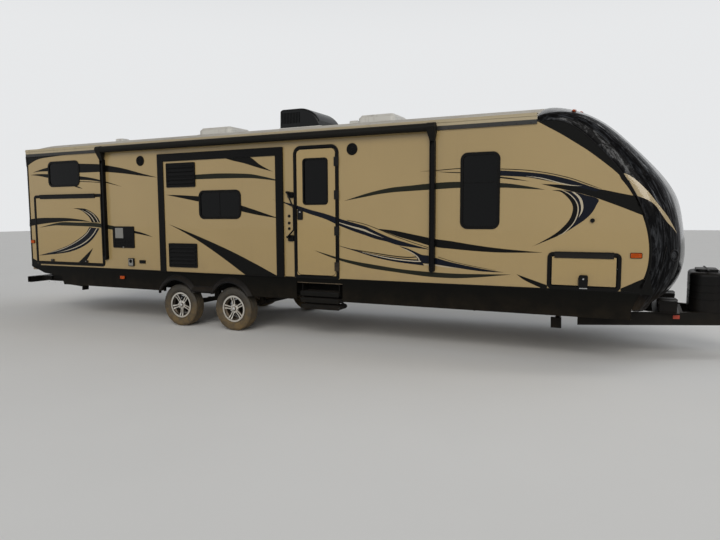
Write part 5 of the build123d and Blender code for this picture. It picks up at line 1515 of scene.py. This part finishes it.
def make_window_bars():
    """Slider bars that divide the opening windows."""
    x0, x1, _, _ = metres(FRONT_WINDOW)
    depths = (-HALF - BAR_PROUD, -HALF + BAR_BEHIND)
    bar = bar_mesh(x0 + BAR_INSET, x1 - BAR_INSET, *depths, *FRONT_BAR_HEIGHTS)
    on_sides("front_window_bar", bar, TRIM_BLACK)
    for name, window, face, sides, body in SLIDER_BARS:
        x0, x1, z0, z1 = metres(window)
        middle = (x0 + x1) / 2
        depths = (face - BAR_PROUD, face + BAR_BEHIND)
        bar = bar_mesh(middle - BAR_HALF, middle + BAR_HALF, *depths, z0 + BAR_INSET, z1 - BAR_INSET)
        on_sides(name + "_window_bar", bar, TRIM_BLACK, sides, body)


# Gaskets, mouldings and fixings

# Door panels: rectangle, corner radius, body, sides
LEAVES = {
    "entry": (ENTRY_LEAF, 0.069, "entry_door", ["camp"]),
    "kitchen": (KITCHEN_LEAF, 0.014, "kitchen_door", ["camp"]),
    "baggage_camp": (BAGGAGE_LEAF, 0.016, "baggage_camp", ["camp"]),
    "baggage_off": (BAGGAGE_LEAF, 0.016, "baggage_off", ["off"]),
}


def on_sides(name, mesh, finish, sides=("camp", "off"), body="root"):
    """Piece made on the camp side, placed on the sides asked for."""
    for side in sides:
        full = name + "_" + side
        add_piece(full, mirrored(mesh, full) if side == "off" else mesh.copy(), finish, body)
    bpy.data.meshes.remove(mesh)


GASKET_WIDTH = 0.006
GASKET_DEPTHS = (LEAF_FACE + 0.012, LEAF_FACE - 0.0012)


def make_gaskets():
    """Rubber seals in the gap round each door panel."""
    for name, (rectangle, radius, body, sides) in LEAVES.items():
        seal = mesh_from(framed(rectangle, radius, GASKET_WIDTH, *GASKET_DEPTHS), "seal")
        on_sides(name + "_gasket", seal, RUBBER, sides, body)


SCREW_RADIUS = 0.0052
SCREW_FLATNESS = 0.45


def screw():
    """Low domed screw head that faces -Y."""
    bm = bmesh.new()
    bmesh.ops.create_uvsphere(bm, u_segments=8, v_segments=4, radius=SCREW_RADIUS)
    bm.transform(Matrix.Diagonal((1, SCREW_FLATNESS, 1, 1)))
    return mesh_from(bm, "screw", smooth=True)


# Rows of screws: name, body, sides, height over the wall, start and end (station, height), count
SCREW_ROWS = [
    ("slide_top", "slide_out", "camp", 0.032, (3034, 2612), (5232, 2612), 16),
    ("slide_rear", "slide_out", "camp", 0.032, (3034, 930), (3034, 2520), 12),
    ("slide_front", "slide_out", "camp", 0.032, (5232, 930), (5232, 2520), 12),
    ("entry_rear", "root", "camp", 0.012, (5436, 960), (5436, 2480), 10),
    ("entry_front", "root", "camp", 0.012, (6114, 1120), (6114, 2340), 5),
    ("kitchen_low", "root", "camp", 0.012, (230, 893), (1710, 893), 11),
    ("kitchen_rear", "root", "camp", 0.012, (156, 960), (156, 2000), 8),
    ("kitchen_front", "root", "camp", 0.012, (1784, 960), (1784, 2000), 8),
    ("baggage_low", "root", "camp off", 0.012, (8890, 863), (9530, 863), 6),
    ("baggage_rear", "root", "camp off", 0.012, (8824, 930), (8824, 1205), 3),
    ("baggage_front", "root", "camp off", 0.012, (9592, 930), (9592, 1205), 3),
    ("flare_rear", "root", "camp off", 0.006, (2905, 620), (2905, 760), 2),
    ("skirt_low", "root", "camp off", 0.0, (420, 575), (2740, 575), 17),
    ("skirt_low_front", "root", "camp off", 0.0, (5000, 575), (9500, 575), 31),
    ("rail_low", "root", "camp off", 0.020, (120, 2752), (1700, 2752), 12),
    ("rail_mid", "root", "camp off", 0.020, (1960, 2752), (8600, 2752), 42),
    ("corner", "root", "camp off", 0.0035, (16, 900), (16, 2700), 14),
]


def make_screws():
    """Rows of screw heads along the trims and the skirt's lower edge."""
    for name, body, sides, proud, start, end, count in SCREW_ROWS:
        y = -HALF - proud
        ends = [(at(station), y, height / 1000) for station, height in (start, end)]
        row = row_of(screw(), *ends, count, TRIM_BLACK)
        on_sides("screws_" + name, row, TRIM_BLACK, sides.split(), body)


TRIM_BEVEL = 0.001
# Belt trim over the skirt's joint: name, rear and front station
BELTS = [("rear", 4, 3000), ("mid", 5266, 5425), ("front", 6126, 9780)]
BELT_HEIGHTS = (0.846, 0.860)
BELT_DEPTHS = (-HALF - 0.004, -HALF + 0.002)
CORNER_WIDTH = 0.034
CORNER_PROUD = 0.0035
CORNER_FOOT = 0.850
CORNER_SIDE_TOP = 2.734
CORNER_BACK_TOP = 2.762


def make_mouldings():
    """Belt trim over the skirt's joint and the corner trims at the back."""
    for name, rear, front in BELTS:
        belt = bar_mesh(at(rear), at(front), *BELT_DEPTHS, *BELT_HEIGHTS, TRIM_BEVEL)
        on_sides("belt_" + name, belt, TRIM_BLACK)
    heights = (CORNER_FOOT, CORNER_SIDE_TOP)
    side = bar_mesh(at(-1), REAR_WALL + CORNER_WIDTH, -HALF - CORNER_PROUD, -HALF, *heights, TRIM_BEVEL)
    heights = (CORNER_FOOT, CORNER_BACK_TOP)
    back = bar_mesh(REAR_WALL - CORNER_PROUD, REAR_WALL, -HALF, -HALF + CORNER_WIDTH, *heights, TRIM_BEVEL)
    on_sides("corner_trim", joined([side, back], "corner"), TRIM_BLACK)


BAGGAGE_COVER = (9165, 9259, 886, 1028)


HANDLE_BLOCK_RADIUS = 0.014
HANDLE_BLOCK_DEPTHS = (-HALF - 0.0006, -1.246)
HANDLE_BLOCK_BEVEL = 0.004
HANDLE_BLOCKS = [(5336, 5421, 1352, 1438), (5336, 5421, 1950, 2030)]


def make_handle_blocks():
    """Mounting blocks of the grab handle."""
    blocks = []
    for rectangle in HANDLE_BLOCKS:
        outline = rounded_outline(*metres(rectangle), HANDLE_BLOCK_RADIUS)
        blocks.append(mesh_from(plate(outline, *HANDLE_BLOCK_DEPTHS, HANDLE_BLOCK_BEVEL), "block"))
    add_piece("handle_blocks", joined(blocks, "blocks"), TRIM_BLACK)


# Turn paddles on the kitchen hatch: name, rectangle
PADDLES = [("kitchen_rear", (534, 586, 944, 968)), ("kitchen_front", (1354, 1406, 944, 968))]
PADDLE_RADIUS = 0.008
PADDLE_DEPTHS = (-1.250, -1.2535)
PADDLE_LOCK_DEPTHS = (-1.2525, -1.2565)
PADDLE_LOCK_RADIUS = 0.007
PADDLE_LOCK_LIFT = 0.00528
COVER_RADIUS = 0.018
COVER_DEPTHS = (-1.2375, -1.2560)
COVER_BEVEL = 0.003
COVER_RIM = 0.012
COVER_RIM_DEPTHS = (-1.2555, -1.2585)
BARREL_RADIUS = 0.009
BARREL_DROP = 0.045
BARREL_DEPTHS = (-1.2555, -1.2590)
STRIKE = (9169, 9254, 870.5, 880.5)
STRIKE_DEPTHS = (-1.2345, -1.2318)
ENTRY_LOCK = (5531, 1755)
ENTRY_LOCK_DEPTHS = (-1.243, -1.247)
ENTRY_LOCK_RADIUS = 0.011


def lock_barrel(x, z, depths, radius, sides):
    """Lock barrel that stands out of a door's face."""
    back, front = depths
    return rod_mesh((x, back, z), (x, front, z), radius, sides=sides)


def make_latches():
    """Paddles, covers and lock barrels on the latches of the hatches and the entry door."""
    for name, rectangle in PADDLES:
        x0, x1, z0, z1 = metres(rectangle)
        paddle = plate(rounded_outline(x0, x1, z0, z1, PADDLE_RADIUS), *PADDLE_DEPTHS, TRIM_BEVEL)
        middle = ((x0 + x1) / 2, (z0 + z1) / 2 + PADDLE_LOCK_LIFT)
        lock = lock_barrel(*middle, PADDLE_LOCK_DEPTHS, PADDLE_LOCK_RADIUS, 20)
        on_sides("latch_paddle_" + name, mesh_from(paddle, "paddle"), BOX_BLACK, ["camp"], "kitchen_door")
        on_sides("latch_lock_" + name, lock, STEEL, ["camp"], "kitchen_door")
    x0, x1, z0, z1 = metres(BAGGAGE_COVER)
    for side in SIDES:
        outline = rounded_outline(x0, x1, z0, z1, COVER_RADIUS)
        cover = mesh_from(plate(outline, *COVER_DEPTHS, COVER_BEVEL), "cover")
        rim = mesh_from(framed(BAGGAGE_COVER, COVER_RADIUS, COVER_RIM, *COVER_RIM_DEPTHS), "rim")
        barrel = lock_barrel((x0 + x1) / 2, z1 - BARREL_DROP, BARREL_DEPTHS, BARREL_RADIUS, 24)
        on_sides("baggage_cover", joined([cover, rim], "cover"), BOX_BLACK, [side], "baggage_" + side)
        on_sides("baggage_barrel", barrel, STEEL, [side], "baggage_" + side)
    x0, x1, z0, z1 = metres(STRIKE)
    on_sides("baggage_strike", bar_mesh(x0, x1, *STRIKE_DEPTHS, z0, z1, TRIM_BEVEL), STEEL)
    station, height = ENTRY_LOCK
    lock = lock_barrel(at(station), height / 1000, ENTRY_LOCK_DEPTHS, ENTRY_LOCK_RADIUS, 24)
    add_piece("entry_lock", lock, STEEL, "entry_door")


OUTWARD = (0, -1, 0)


def lathe_on(spot, normal, points, steps=40):
    """Closed body turned about a normal at a spot."""
    bm = lathe(points, (0, 0, 0), side=-1, steps=steps)
    turn = (-Vector(normal)).to_track_quat("Y", "Z").to_matrix().to_4x4()
    bm.transform(Matrix.Translation(spot) @ turn)
    return mesh_from(bm, "turned", smooth=True)


# Plates of the two vents on the slide-out
VENT_PLATES = [("upper", (3183, 3735, 2141, 2505)), ("lower", (3190, 3735, 927, 1293))]
BLADE_HALF = 0.016
BLADE_MIDDLE = SLIDE_FACE - 0.014
BLADE_DEPTHS = (SLIDE_FACE - 0.021, SLIDE_FACE - 0.006)
BLADE_BEVEL = 0.004
BLADE_SIDE_GAP = 0.026
BLADE_END_GAP = 0.062
BLADE_TILT = -0.30
BLADES = 5
VENT_RIM_RADIUS = 0.016
VENT_RIM_WIDTH = 0.014
VENT_RIM_DEPTHS = (SLIDE_FACE - 0.013, SLIDE_FACE - 0.018)


def make_louvres():
    """Raised louvre blades of the refrigerator's two vents."""
    for name, rectangle in VENT_PLATES:
        x0, x1, z0, z1 = metres(rectangle)
        span = (x0 + BLADE_SIDE_GAP, x1 - BLADE_SIDE_GAP)
        blade = bar_mesh(*span, *BLADE_DEPTHS, -BLADE_HALF, BLADE_HALF, BLADE_BEVEL)
        blade.transform(Matrix.Translation((0, -BLADE_MIDDLE, 0)))
        blade.transform(Matrix.Rotation(BLADE_TILT, 4, "X"))
        blade.transform(Matrix.Translation((0, BLADE_MIDDLE, 0)))
        blades = row_of(blade, (0, 0, z0 + BLADE_END_GAP), (0, 0, z1 - BLADE_END_GAP), BLADES, BOX_BLACK)
        rim = mesh_from(framed(rectangle, VENT_RIM_RADIUS, VENT_RIM_WIDTH, *VENT_RIM_DEPTHS), "rim")
        add_piece("louvres_" + name, joined([blades, rim], "louvres"), BOX_BLACK, "slide_out")


SPEAKER_STATIONS = (2639, 6322)
SPEAKER_HEIGHT = 2.569
SPEAKER_PROUD = 0.012
SPEAKER_RINGS = (0.071, 0.054, 0.039, 0.024)
SPEAKER_STEPS = 48
# Section of one raised ring: distance from its middle line, height
RING_SECTION = [(0.003, 0), (0.002, 0.0035), (-0.002, 0.0035), (-0.003, 0)]


def make_speaker_grilles():
    """Raised rings of the two outside speakers."""
    for station in SPEAKER_STATIONS:
        spot = Vector((at(station), -HALF - SPEAKER_PROUD, SPEAKER_HEIGHT))
        rings = []
        for radius in SPEAKER_RINGS:
            section = [(radius + out, height) for out, height in RING_SECTION]
            rings.append(lathe_on(spot, OUTWARD, section, SPEAKER_STEPS))
        add_piece("speaker_grille_" + str(station), joined(rings, "grille"), BOX_BLACK)


HEATER_GRILLE = (2056, 2226, 1356, 1520)
GRILLE_RADIUS = 0.006
GRILLE_DEPTHS = (-HALF - 0.012, -HALF - 0.0155)
GRILLE_BAR_HALF = 0.004
GRILLE_BAR_DEPTHS = (-HALF - 0.0185, -HALF - 0.015)
GRILLE_BAR_INSET = 0.012
GRILLE_BAR_GAP = 0.016
GRILLE_BARS = 8
HEATER_LATCH = (2228, 1212)
HEATER_LATCH_DEPTHS = (-HALF - 0.013, -HALF - 0.024)
HEATER_LATCH_RADIUS = 0.010
OUTLET = (2331, 2442, 913, 1038)
OUTLET_LID_INSET = 0.008
OUTLET_LID_RADIUS = 0.012
OUTLET_LID_DEPTHS = (-HALF - 0.029, -HALF - 0.034)
OUTLET_LID_BEVEL = 0.0015
OUTLET_BOSS_DROP = 0.046
OUTLET_BOSS_FACE = -HALF - 0.033
OUTLET_BOSS_SECTION = [(0, 0), (0.030, 0), (0.028, 0.006), (0.020, 0.009), (0, 0.009)]


def make_heater_trim():
    """Burner grille and latch of the heater door."""
    x0, x1, z0, z1 = metres(HEATER_GRILLE)
    outline = rounded_outline(x0, x1, z0, z1, GRILLE_RADIUS)
    parts = [mesh_from(plate(outline, *GRILLE_DEPTHS, TRIM_BEVEL), "grille")]
    span = (x0 + GRILLE_BAR_INSET, x1 - GRILLE_BAR_INSET)
    bar = bar_mesh(*span, *GRILLE_BAR_DEPTHS, -GRILLE_BAR_HALF, GRILLE_BAR_HALF, TRIM_BEVEL)
    parts.append(row_of(bar, (0, 0, z0 + GRILLE_BAR_GAP), (0, 0, z1 - GRILLE_BAR_GAP), GRILLE_BARS, SILVER))
    add_piece("heater_grille", joined(parts, "heater_grille"), SILVER)
    station, height = HEATER_LATCH
    latch = lock_barrel(at(station), height / 1000, HEATER_LATCH_DEPTHS, HEATER_LATCH_RADIUS, 20)
    add_piece("heater_latch", latch, STEEL)


def make_outlet_trim():
    """Lid of the shore power outlet and its boss."""
    x0, x1, z0, z1 = metres(OUTLET)
    inset = OUTLET_LID_INSET
    outline = rounded_outline(x0 + inset, x1 - inset, z0 + inset, z1 - inset, OUTLET_LID_RADIUS)
    lid = plate(outline, *OUTLET_LID_DEPTHS, OUTLET_LID_BEVEL)
    add_piece("outlet_lid", mesh_from(lid, "outlet_lid"), SILVER)
    spot = Vector(((x0 + x1) / 2, OUTLET_BOSS_FACE, z1 - OUTLET_BOSS_DROP))
    add_piece("outlet_boss", lathe_on(spot, OUTWARD, OUTLET_BOSS_SECTION), BOX_BLACK)


# Marker lamps on the sides: name, station and height of the middle, length, height, all in millimetres
MARKERS = [("rear", 66, 1270, 80, 50), ("mid", 2172, 720, 95, 48), ("front", 9744, 1259, 110, 50)]
MARKER_MARGIN = 6
MARKER_RADIUS = 0.014
MARKER_RIM = 0.007
MARKER_INNER_RADIUS = 0.009
MARKER_PROUD = 0.010


def make_lamp_bases():
    """Black bases round the marker lamps."""
    for name, station, z, wide, tall in MARKERS:
        reach = wide / 2 + MARKER_MARGIN
        rise = tall / 2 + MARKER_MARGIN
        x0, x1, z0, z1 = metres((station - reach, station + reach, z - rise, z + rise))
        outer = rounded_outline(x0, x1, z0, z1, MARKER_RADIUS)
        hole = (x0 + MARKER_RIM, x1 - MARKER_RIM, z0 + MARKER_RIM, z1 - MARKER_RIM)
        inner = rounded_outline(*hole, MARKER_INNER_RADIUS)
        base = mesh_from(ring(outer, inner, -HALF, -HALF - MARKER_PROUD), "base")
        on_sides("lamp_base_" + name, base, BOX_BLACK)


TAIL_LAMP_HEIGHTS = (1.150, 1.290)
TAIL_LAMP_PLACE = HALF - 0.140
TAIL_RIM_SECTION = [(0.066, 0), (0.066, 0.012), (0.062, 0.017), (0.056, 0.014), (0.056, 0)]
# Ranges of X, Y and Z, and the bevel
PLATE_HOLDER = (at(-6), at(0), -0.75, -0.43, 0.96, 1.14, 0.002)


def make_rear_trim():
    """Rims of the tail lamps and a blank plate holder."""
    rims = []
    for side in (-1, 1):
        for z in TAIL_LAMP_HEIGHTS:
            spot = Vector((REAR_WALL, side * TAIL_LAMP_PLACE, z))
            rims.append(lathe_on(spot, (-1, 0, 0), TAIL_RIM_SECTION))
    add_piece("tail_lamp_rims", joined(rims, "rims"), BOX_BLACK)
    add_piece("plate_holder", bar_mesh(*PLATE_HOLDER), BOX_BLACK)


# Cap fittings
CLEARANCE_STATION = 9039
CLEARANCE_PLACES = (-1.0, -0.15, 0.0, 0.15, 1.0)
# Half length and half width of a clearance lamp's part, and its heights above the skin
CLEARANCE_BASE = (0.022, 0.055, -0.006, 0.005)
CLEARANCE_LENS = (0.017, 0.049, 0.004, 0.024)
CLEARANCE_BEVEL = 0.004
ABOVE = 4.0
DOCKING_PIXEL = (674.3, 255.5)
# Sections of the docking lamp: radius, height above the skin
DOCKING_RIM = [(0.066, -0.02), (0.066, 0.001), (0.060, 0.005), (0.052, 0.004), (0.046, -0.02)]
DOCKING_LENS = [(0, -0.02), (0.049, -0.02), (0.049, -0.004), (0.035, 0.000), (0, 0.002)]
CREASE = [(666.8, 246.8), (664.5, 256), (662, 268), (659, 280), (655.3, 290.5)]
CREASE_RADIUS = 0.004


def make_clearance_lamps():
    """Row of amber clearance lamps across the top of the cap."""
    lenses = []
    bases = []
    for y in CLEARANCE_PLACES:
        spot, normal = hit(CAP, Vector((at(CLEARANCE_STATION), y, ABOVE)), STRAIGHT_DOWN)
        across = Vector((0, 1, 0)).cross(normal).normalized()
        turn = Matrix((across, normal.cross(across), normal)).transposed().to_4x4()
        for made, (x, w, low, high) in ((bases, CLEARANCE_BASE), (lenses, CLEARANCE_LENS)):
            part = bar_mesh(-x, x, -w, w, low, high, CLEARANCE_BEVEL)
            part.transform(Matrix.Translation(spot) @ turn)
            made.append(part)
    add_piece("clearance_lenses", joined(lenses, "lenses"), AMBER)
    add_piece("clearance_bases", joined(bases, "bases"), BOX_BLACK)


def make_docking_lights():
    """Round lamp sunk in a dark bowl low on each side of the cap; its lens is near black, as painted shade
    of the recess.
    """
    spot, normal = hit(CAP, CAMERA_PLACE, photo_ray(*DOCKING_PIXEL))
    on_sides("docking_rim", lathe_on(spot, normal, DOCKING_RIM), BOX_BLACK)
    on_sides("docking_lens", lathe_on(spot, normal, DOCKING_LENS), DARK_LENS)


DRAWBAR_REFLECTOR_PIXEL = (676.2, 317.1)
# Ranges of X, Y and Z, and the bevel
REFLECTOR_BAR = (-0.038, 0.038, -0.002, 0.004, -0.022, 0.022, 0.002)


def make_drawbar_reflectors():
    """Red reflector on each drawbar rail."""
    spot, normal = hit(surface_of("drawbar"), CAMERA_PLACE, photo_ray(*DRAWBAR_REFLECTOR_PIXEL))
    along = Vector((0, 0, 1)).cross(normal).normalized()
    turn = Matrix((along, normal, along.cross(normal))).transposed().to_4x4()
    lens = bar_mesh(*REFLECTOR_BAR)
    lens.transform(Matrix.Translation(spot) @ turn)
    on_sides("drawbar_reflector", lens, REFLECTOR)


def make_cap_crease():
    """Seam bead where the cap's lower skirt starts."""
    bead = swept([on_cap(u, v) for u, v in CREASE], CREASE_RADIUS, "crease")
    on_sides("cap_crease", bead, RUBBER)


CAP_FOOT = 0.655
FOOT_SAMPLES = 72
FOOT_STATION = 9730
FOOT_REACH = 3
FOOT_RAY_LIFT = 0.012
SEAL_INSET = 0.006
SEAL_RADIUS = 0.011


def make_cap_seal():
    """Bulb seal along the cap's bottom edge."""
    spots = []
    for k in range(FOOT_SAMPLES + 1):
        turn = math.pi * (k / FOOT_SAMPLES - 0.5)
        heading = Vector((math.cos(turn), math.sin(turn), 0))
        start = Vector((at(FOOT_STATION), 0, CAP_FOOT + FOOT_RAY_LIFT)) + heading * FOOT_REACH
        spot, _ = hit(CAP, start, -heading)
        if spot is not None:
            spots.append((spot.x - heading.x * SEAL_INSET, spot.y - heading.y * SEAL_INSET, CAP_FOOT))
    add_piece("cap_seal", swept(spots, SEAL_RADIUS, "cap_seal", sides=8), RUBBER)


# Roof
ROOF = surface_of("roof")
# Sealed rectangles on the roof: rear, front, half width
ROOF_SEALS = [
    (3030, 3690, 0.30), (5965, 6545, 0.30), (5719, 5859, 0.07), (918, 1098, 0.09), (4670, 5349, 0.35),
]
SEALANT_REACH = 0.012
SEALANT_CORNER = 0.03
SEALANT_STEP = 0.06
SEALANT_RADIUS = 0.013
# Stations of the first and the last rib on the two large vent lids
VENT_RIBS = [(3110, 3610), (6035, 6475)]
# Ranges of X, Y and Z, and the bevel
VENT_RIB = (-0.006, 0.006, -0.19, 0.19, -0.003, 0.005, 0.002)
VENT_RIB_HEIGHT = 3.158
RIBS = 6


def make_roof_sealant():
    """Self-levelling sealant laid round each roof fitting."""
    beads = []
    for rear, front, half in ROOF_SEALS:
        ends = (at(rear) - SEALANT_REACH, at(front) + SEALANT_REACH)
        outline = rounded_outline(*ends, -half - SEALANT_REACH, half + SEALANT_REACH, SEALANT_CORNER, 4)
        fine = []
        for (x0, y0), (x1, y1) in zip(outline, outline[1:] + outline[:1]):
            count = max(1, int(math.hypot(x1 - x0, y1 - y0) / SEALANT_STEP))
            for k in range(count):
                above = Vector((x0 + (x1 - x0) * k / count, y0 + (y1 - y0) * k / count, ABOVE))
                fine.append(hit(ROOF, above, STRAIGHT_DOWN)[0])
        beads.append(swept(fine, SEALANT_RADIUS, "bead", cyclic=True))
    add_piece("roof_sealant", joined(beads, "roof_sealant"), VENT_WHITE)


def make_vent_ribs():
    """Raised ribs on the two large vent lids."""
    ribs = []
    for rear, front in VENT_RIBS:
        ends = ((at(rear), 0, VENT_RIB_HEIGHT), (at(front), 0, VENT_RIB_HEIGHT))
        ribs.append(row_of(bar_mesh(*VENT_RIB), *ends, RIBS, VENT_WHITE))
    add_piece("vent_ribs", joined(ribs, "vent_ribs"), VENT_WHITE)


# Tongue equipment
BATTERY_SIDES = [(-0.570, -0.230), (0.230, 0.570)]
BATTERY_STATIONS = (9984, 10196)
LID_REACH = 0.006
LID_HEIGHTS = (0.655, 0.694)
LID_BEVEL = 0.008
STRAP_STATIONS = (9980, 10200)
STRAP_HALF = 0.02
STRAP_HEIGHTS = (0.60, 0.6975)
STRAP_BEVEL = 0.003
GAS_STRAP_STATIONS = (10500, 10525)
GAS_STRAP_HALF = 0.34
GAS_STRAP_HEIGHTS = (1.040, 1.050)
JACK_STATION = 10820
JACK_BOLTS = [(-0.062, -0.045), (0.062, -0.045), (-0.062, 0.045), (0.062, 0.045)]
JACK_BOLT_HEIGHTS = (0.545, 0.575)
JACK_BOLT_RADIUS = 0.009


def upright_rod(x, y, heights, radius, sides):
    """Upright round bar between two heights."""
    low, high = heights
    return rod_mesh((x, y, low), (x, y, high), radius, sides=sides)


def make_tongue_trim():
    """Battery lids and straps, gas cover lid strap and jack bolts."""
    lids = []
    straps = []
    for y0, y1 in BATTERY_SIDES:
        rear, front = BATTERY_STATIONS
        lids.append(bar_mesh(at(rear), at(front), y0 - LID_REACH, y1 + LID_REACH, *LID_HEIGHTS, LID_BEVEL))
        rear, front = STRAP_STATIONS
        middle = (y0 + y1) / 2
        width = (middle - STRAP_HALF, middle + STRAP_HALF)
        straps.append(bar_mesh(at(rear), at(front), *width, *STRAP_HEIGHTS, STRAP_BEVEL))
    add_piece("battery_lids", joined(lids, "lids"), BOX_BLACK)
    rear, front = GAS_STRAP_STATIONS
    width = (-GAS_STRAP_HALF, GAS_STRAP_HALF)
    straps.append(bar_mesh(at(rear), at(front), *width, *GAS_STRAP_HEIGHTS, STRAP_BEVEL))
    add_piece("straps", joined(straps, "straps"), RUBBER)
    bolts = []
    for x, y in JACK_BOLTS:
        bolts.append(upright_rod(at(JACK_STATION) + x, y, JACK_BOLT_HEIGHTS, JACK_BOLT_RADIUS, 6))
    add_piece("jack_bolts", joined(bolts, "bolts"), STEEL)


TREAD_STATIONS = (5530, 6085)
# Treads: name, height of the top, body
TREADS = [("upper", 0.663, "root"), ("middle", 0.572, "step_middle"), ("lower", 0.481, "step_lower")]
# Ranges of Y and Z, and the bevel
GRIP_BAR = (-0.006, 0.006, -0.002, 0.002, 0.001)
GRIP_LIFT = 0.0015
GRIP_PLACES = (-1.195, -1.03)
GRIPS = 6
EDGE_REACH = 0.014
EDGE_DEPTHS = (-1.2155, -1.2145)
EDGE_DROPS = (0.012, 0.006)
EDGE_BEVEL = 0.0003


def make_step_grip():
    """Raised grip bars across the treads and a dark line along their front edges."""
    rear, front = [at(station) for station in TREAD_STATIONS]
    for name, top, body in TREADS:
        ends = [(0, y, top + GRIP_LIFT) for y in GRIP_PLACES]
        bars = row_of(bar_mesh(rear, front, *GRIP_BAR), *ends, GRIPS, RUBBER)
        add_piece("step_grip_" + name, bars, RUBBER, body)
        heights = [top - drop for drop in EDGE_DROPS]
        edge = bar_mesh(rear - EDGE_REACH, front + EDGE_REACH, *EDGE_DEPTHS, *heights, EDGE_BEVEL)
        add_piece("step_edge_" + name, edge, SHROUD_BLACK, body)


HANDLE_DEPTHS = (-1.137, -1.122)
HANDLE_BEVEL = 0.003
HANDLE_WIDTH = 0.012
CUPBOARD_HANDLE = (330, 342, 1.02, 1.28)
DRAWER_STATIONS = (1040, 1478)
DRAWER_HEIGHTS = (0.985, 1.150, 1.315)
DRAWER_HANDLE_HALF = 70
# Ranges of X, Y and Z, and the bevel
HOB = (at(260), at(740), -1.08, -0.72, 1.408, 1.428, 0.004)
BURNER_STATIONS = (390, 610)
BURNER_PLACE = -0.9
BURNER_HEIGHT = 1.427
BURNER_SECTION = [(0.062, 0), (0.062, 0.010), (0.050, 0.012), (0.044, 0.008), (0.044, 0)]
# Ranges of X and Y, and the corner radius
SINK_OUTER = (at(1150), at(1560), -1.06, -0.70, 0.05)
SINK_INNER = (at(1170), at(1540), -1.04, -0.72, 0.04)
SINK_HEIGHTS = (1.408, 1.414)
# Exchanges Y and Z, so that an outline drawn upright lies flat
LAID_FLAT = Matrix(((1, 0, 0, 0), (0, 0, 1, 0), (0, 1, 0, 0), (0, 0, 0, 1)))


def make_kitchen_fittings():
    """Handles, hob and sink of the outside kitchen."""
    rear, front, low, high = CUPBOARD_HANDLE
    handles = [bar_mesh(at(rear), at(front), *HANDLE_DEPTHS, low, high, HANDLE_BEVEL)]
    for z in DRAWER_HEIGHTS:
        for station in DRAWER_STATIONS:
            ends = (at(station - DRAWER_HANDLE_HALF), at(station + DRAWER_HANDLE_HALF))
            handles.append(bar_mesh(*ends, *HANDLE_DEPTHS, z, z + HANDLE_WIDTH, HANDLE_BEVEL))
    add_piece("kitchen_handles", joined(handles, "handles"), STEEL)
    add_piece("kitchen_hob", bar_mesh(*HOB), SHROUD_BLACK)
    burners = []
    for station in BURNER_STATIONS:
        spot = Vector((at(station), BURNER_PLACE, BURNER_HEIGHT))
        burners.append(lathe_on(spot, (0, 0, 1), BURNER_SECTION))
    sink = ring(rounded_outline(*SINK_OUTER), rounded_outline(*SINK_INNER), *SINK_HEIGHTS)
    sink.transform(LAID_FLAT)
    bmesh.ops.recalc_face_normals(sink, faces=sink.faces)
    burners.append(mesh_from(sink, "sink"))
    add_piece("kitchen_burners", joined(burners, "burners"), STEEL)


# Drain pipes: station, place across, height of the lower end
DRAIN_PIPES = [(2760, -1.02, 0.47), (2830, -0.98, 0.50), (7900, -0.95, 0.50)]
DRAIN_TOP = 0.785
DRAIN_RADIUS = 0.022
SPRING_PLACE = 0.88
SPRING_BOLT_HEIGHTS = (0.268, 0.425)
SPRING_BOLT_RADIUS = 0.006
SPRING_BOLTS_ALONG = (-0.038, 0.038)
SPRING_BOLTS_ACROSS = (-0.030, 0.030)


def make_underside():
    """Drain pipes and spring bolts under the floor."""
    pipes = []
    for station, y, low in DRAIN_PIPES:
        pipes.append(upright_rod(at(station), y, (low, DRAIN_TOP), DRAIN_RADIUS, 20))
    add_piece("drain_pipes", joined(pipes, "pipes"), BOX_BLACK)
    bolts = []
    for station in AXLE_STATIONS.values():
        for side in (-1, 1):
            for dx in SPRING_BOLTS_ALONG:
                for dy in SPRING_BOLTS_ACROSS:
                    place = (at(station) + dx, side * SPRING_PLACE + dy)
                    bolts.append(upright_rod(*place, SPRING_BOLT_HEIGHTS, SPRING_BOLT_RADIUS, 8))
    add_piece("spring_bolts", joined(bolts, "bolts"), FRAME_BLACK)


# Camera, light, finishes and pieces, in this order
set_camera()
make_stage()
make_world()
add_sun("key", strength=1.45, angle=40, aim=(-0.30, 0.85, -0.50), colour=(1.0, 0.965, 0.91))
add_sun("rim", strength=0.55, angle=50, aim=(-0.6, -0.5, -0.6), colour=(0.93, 0.96, 1.0))
add_panel_light(
    "side strip", place=(3.0, -8.5, 6.5), target=(2.5, -1.2, 1.2), width=14.0, height=0.6, power=60,
)
add_panel_light(
    "nose strip", place=(11.5, -5.5, 4.2), target=(4.2, -0.6, 1.9), width=0.35, height=5.0, power=30,
)
add_panel_light(
    "top strip", place=(7.5, 1.0, 8.0), target=(4.0, 0.0, 2.4), width=0.8, height=5.0, power=60,
)
dress_nodes()
paint_sides()
paint_cap()
paint_cap_edge()
make_tyres()
make_wheel_trim()
make_entry_trim()
make_window_bars()
make_gaskets()
make_screws()
make_mouldings()
make_latches()
make_handle_blocks()
make_speaker_grilles()
make_louvres()
make_heater_trim()
make_outlet_trim()
make_lamp_bases()
make_rear_trim()
make_clearance_lamps()
make_docking_lights()
make_drawbar_reflectors()
make_cap_crease()
make_cap_seal()
make_roof_sealant()
make_vent_ribs()
make_tongue_trim()
make_step_grip()
make_kitchen_fittings()
make_underside()

bpy.context.scene.view_settings.view_transform = "Standard"
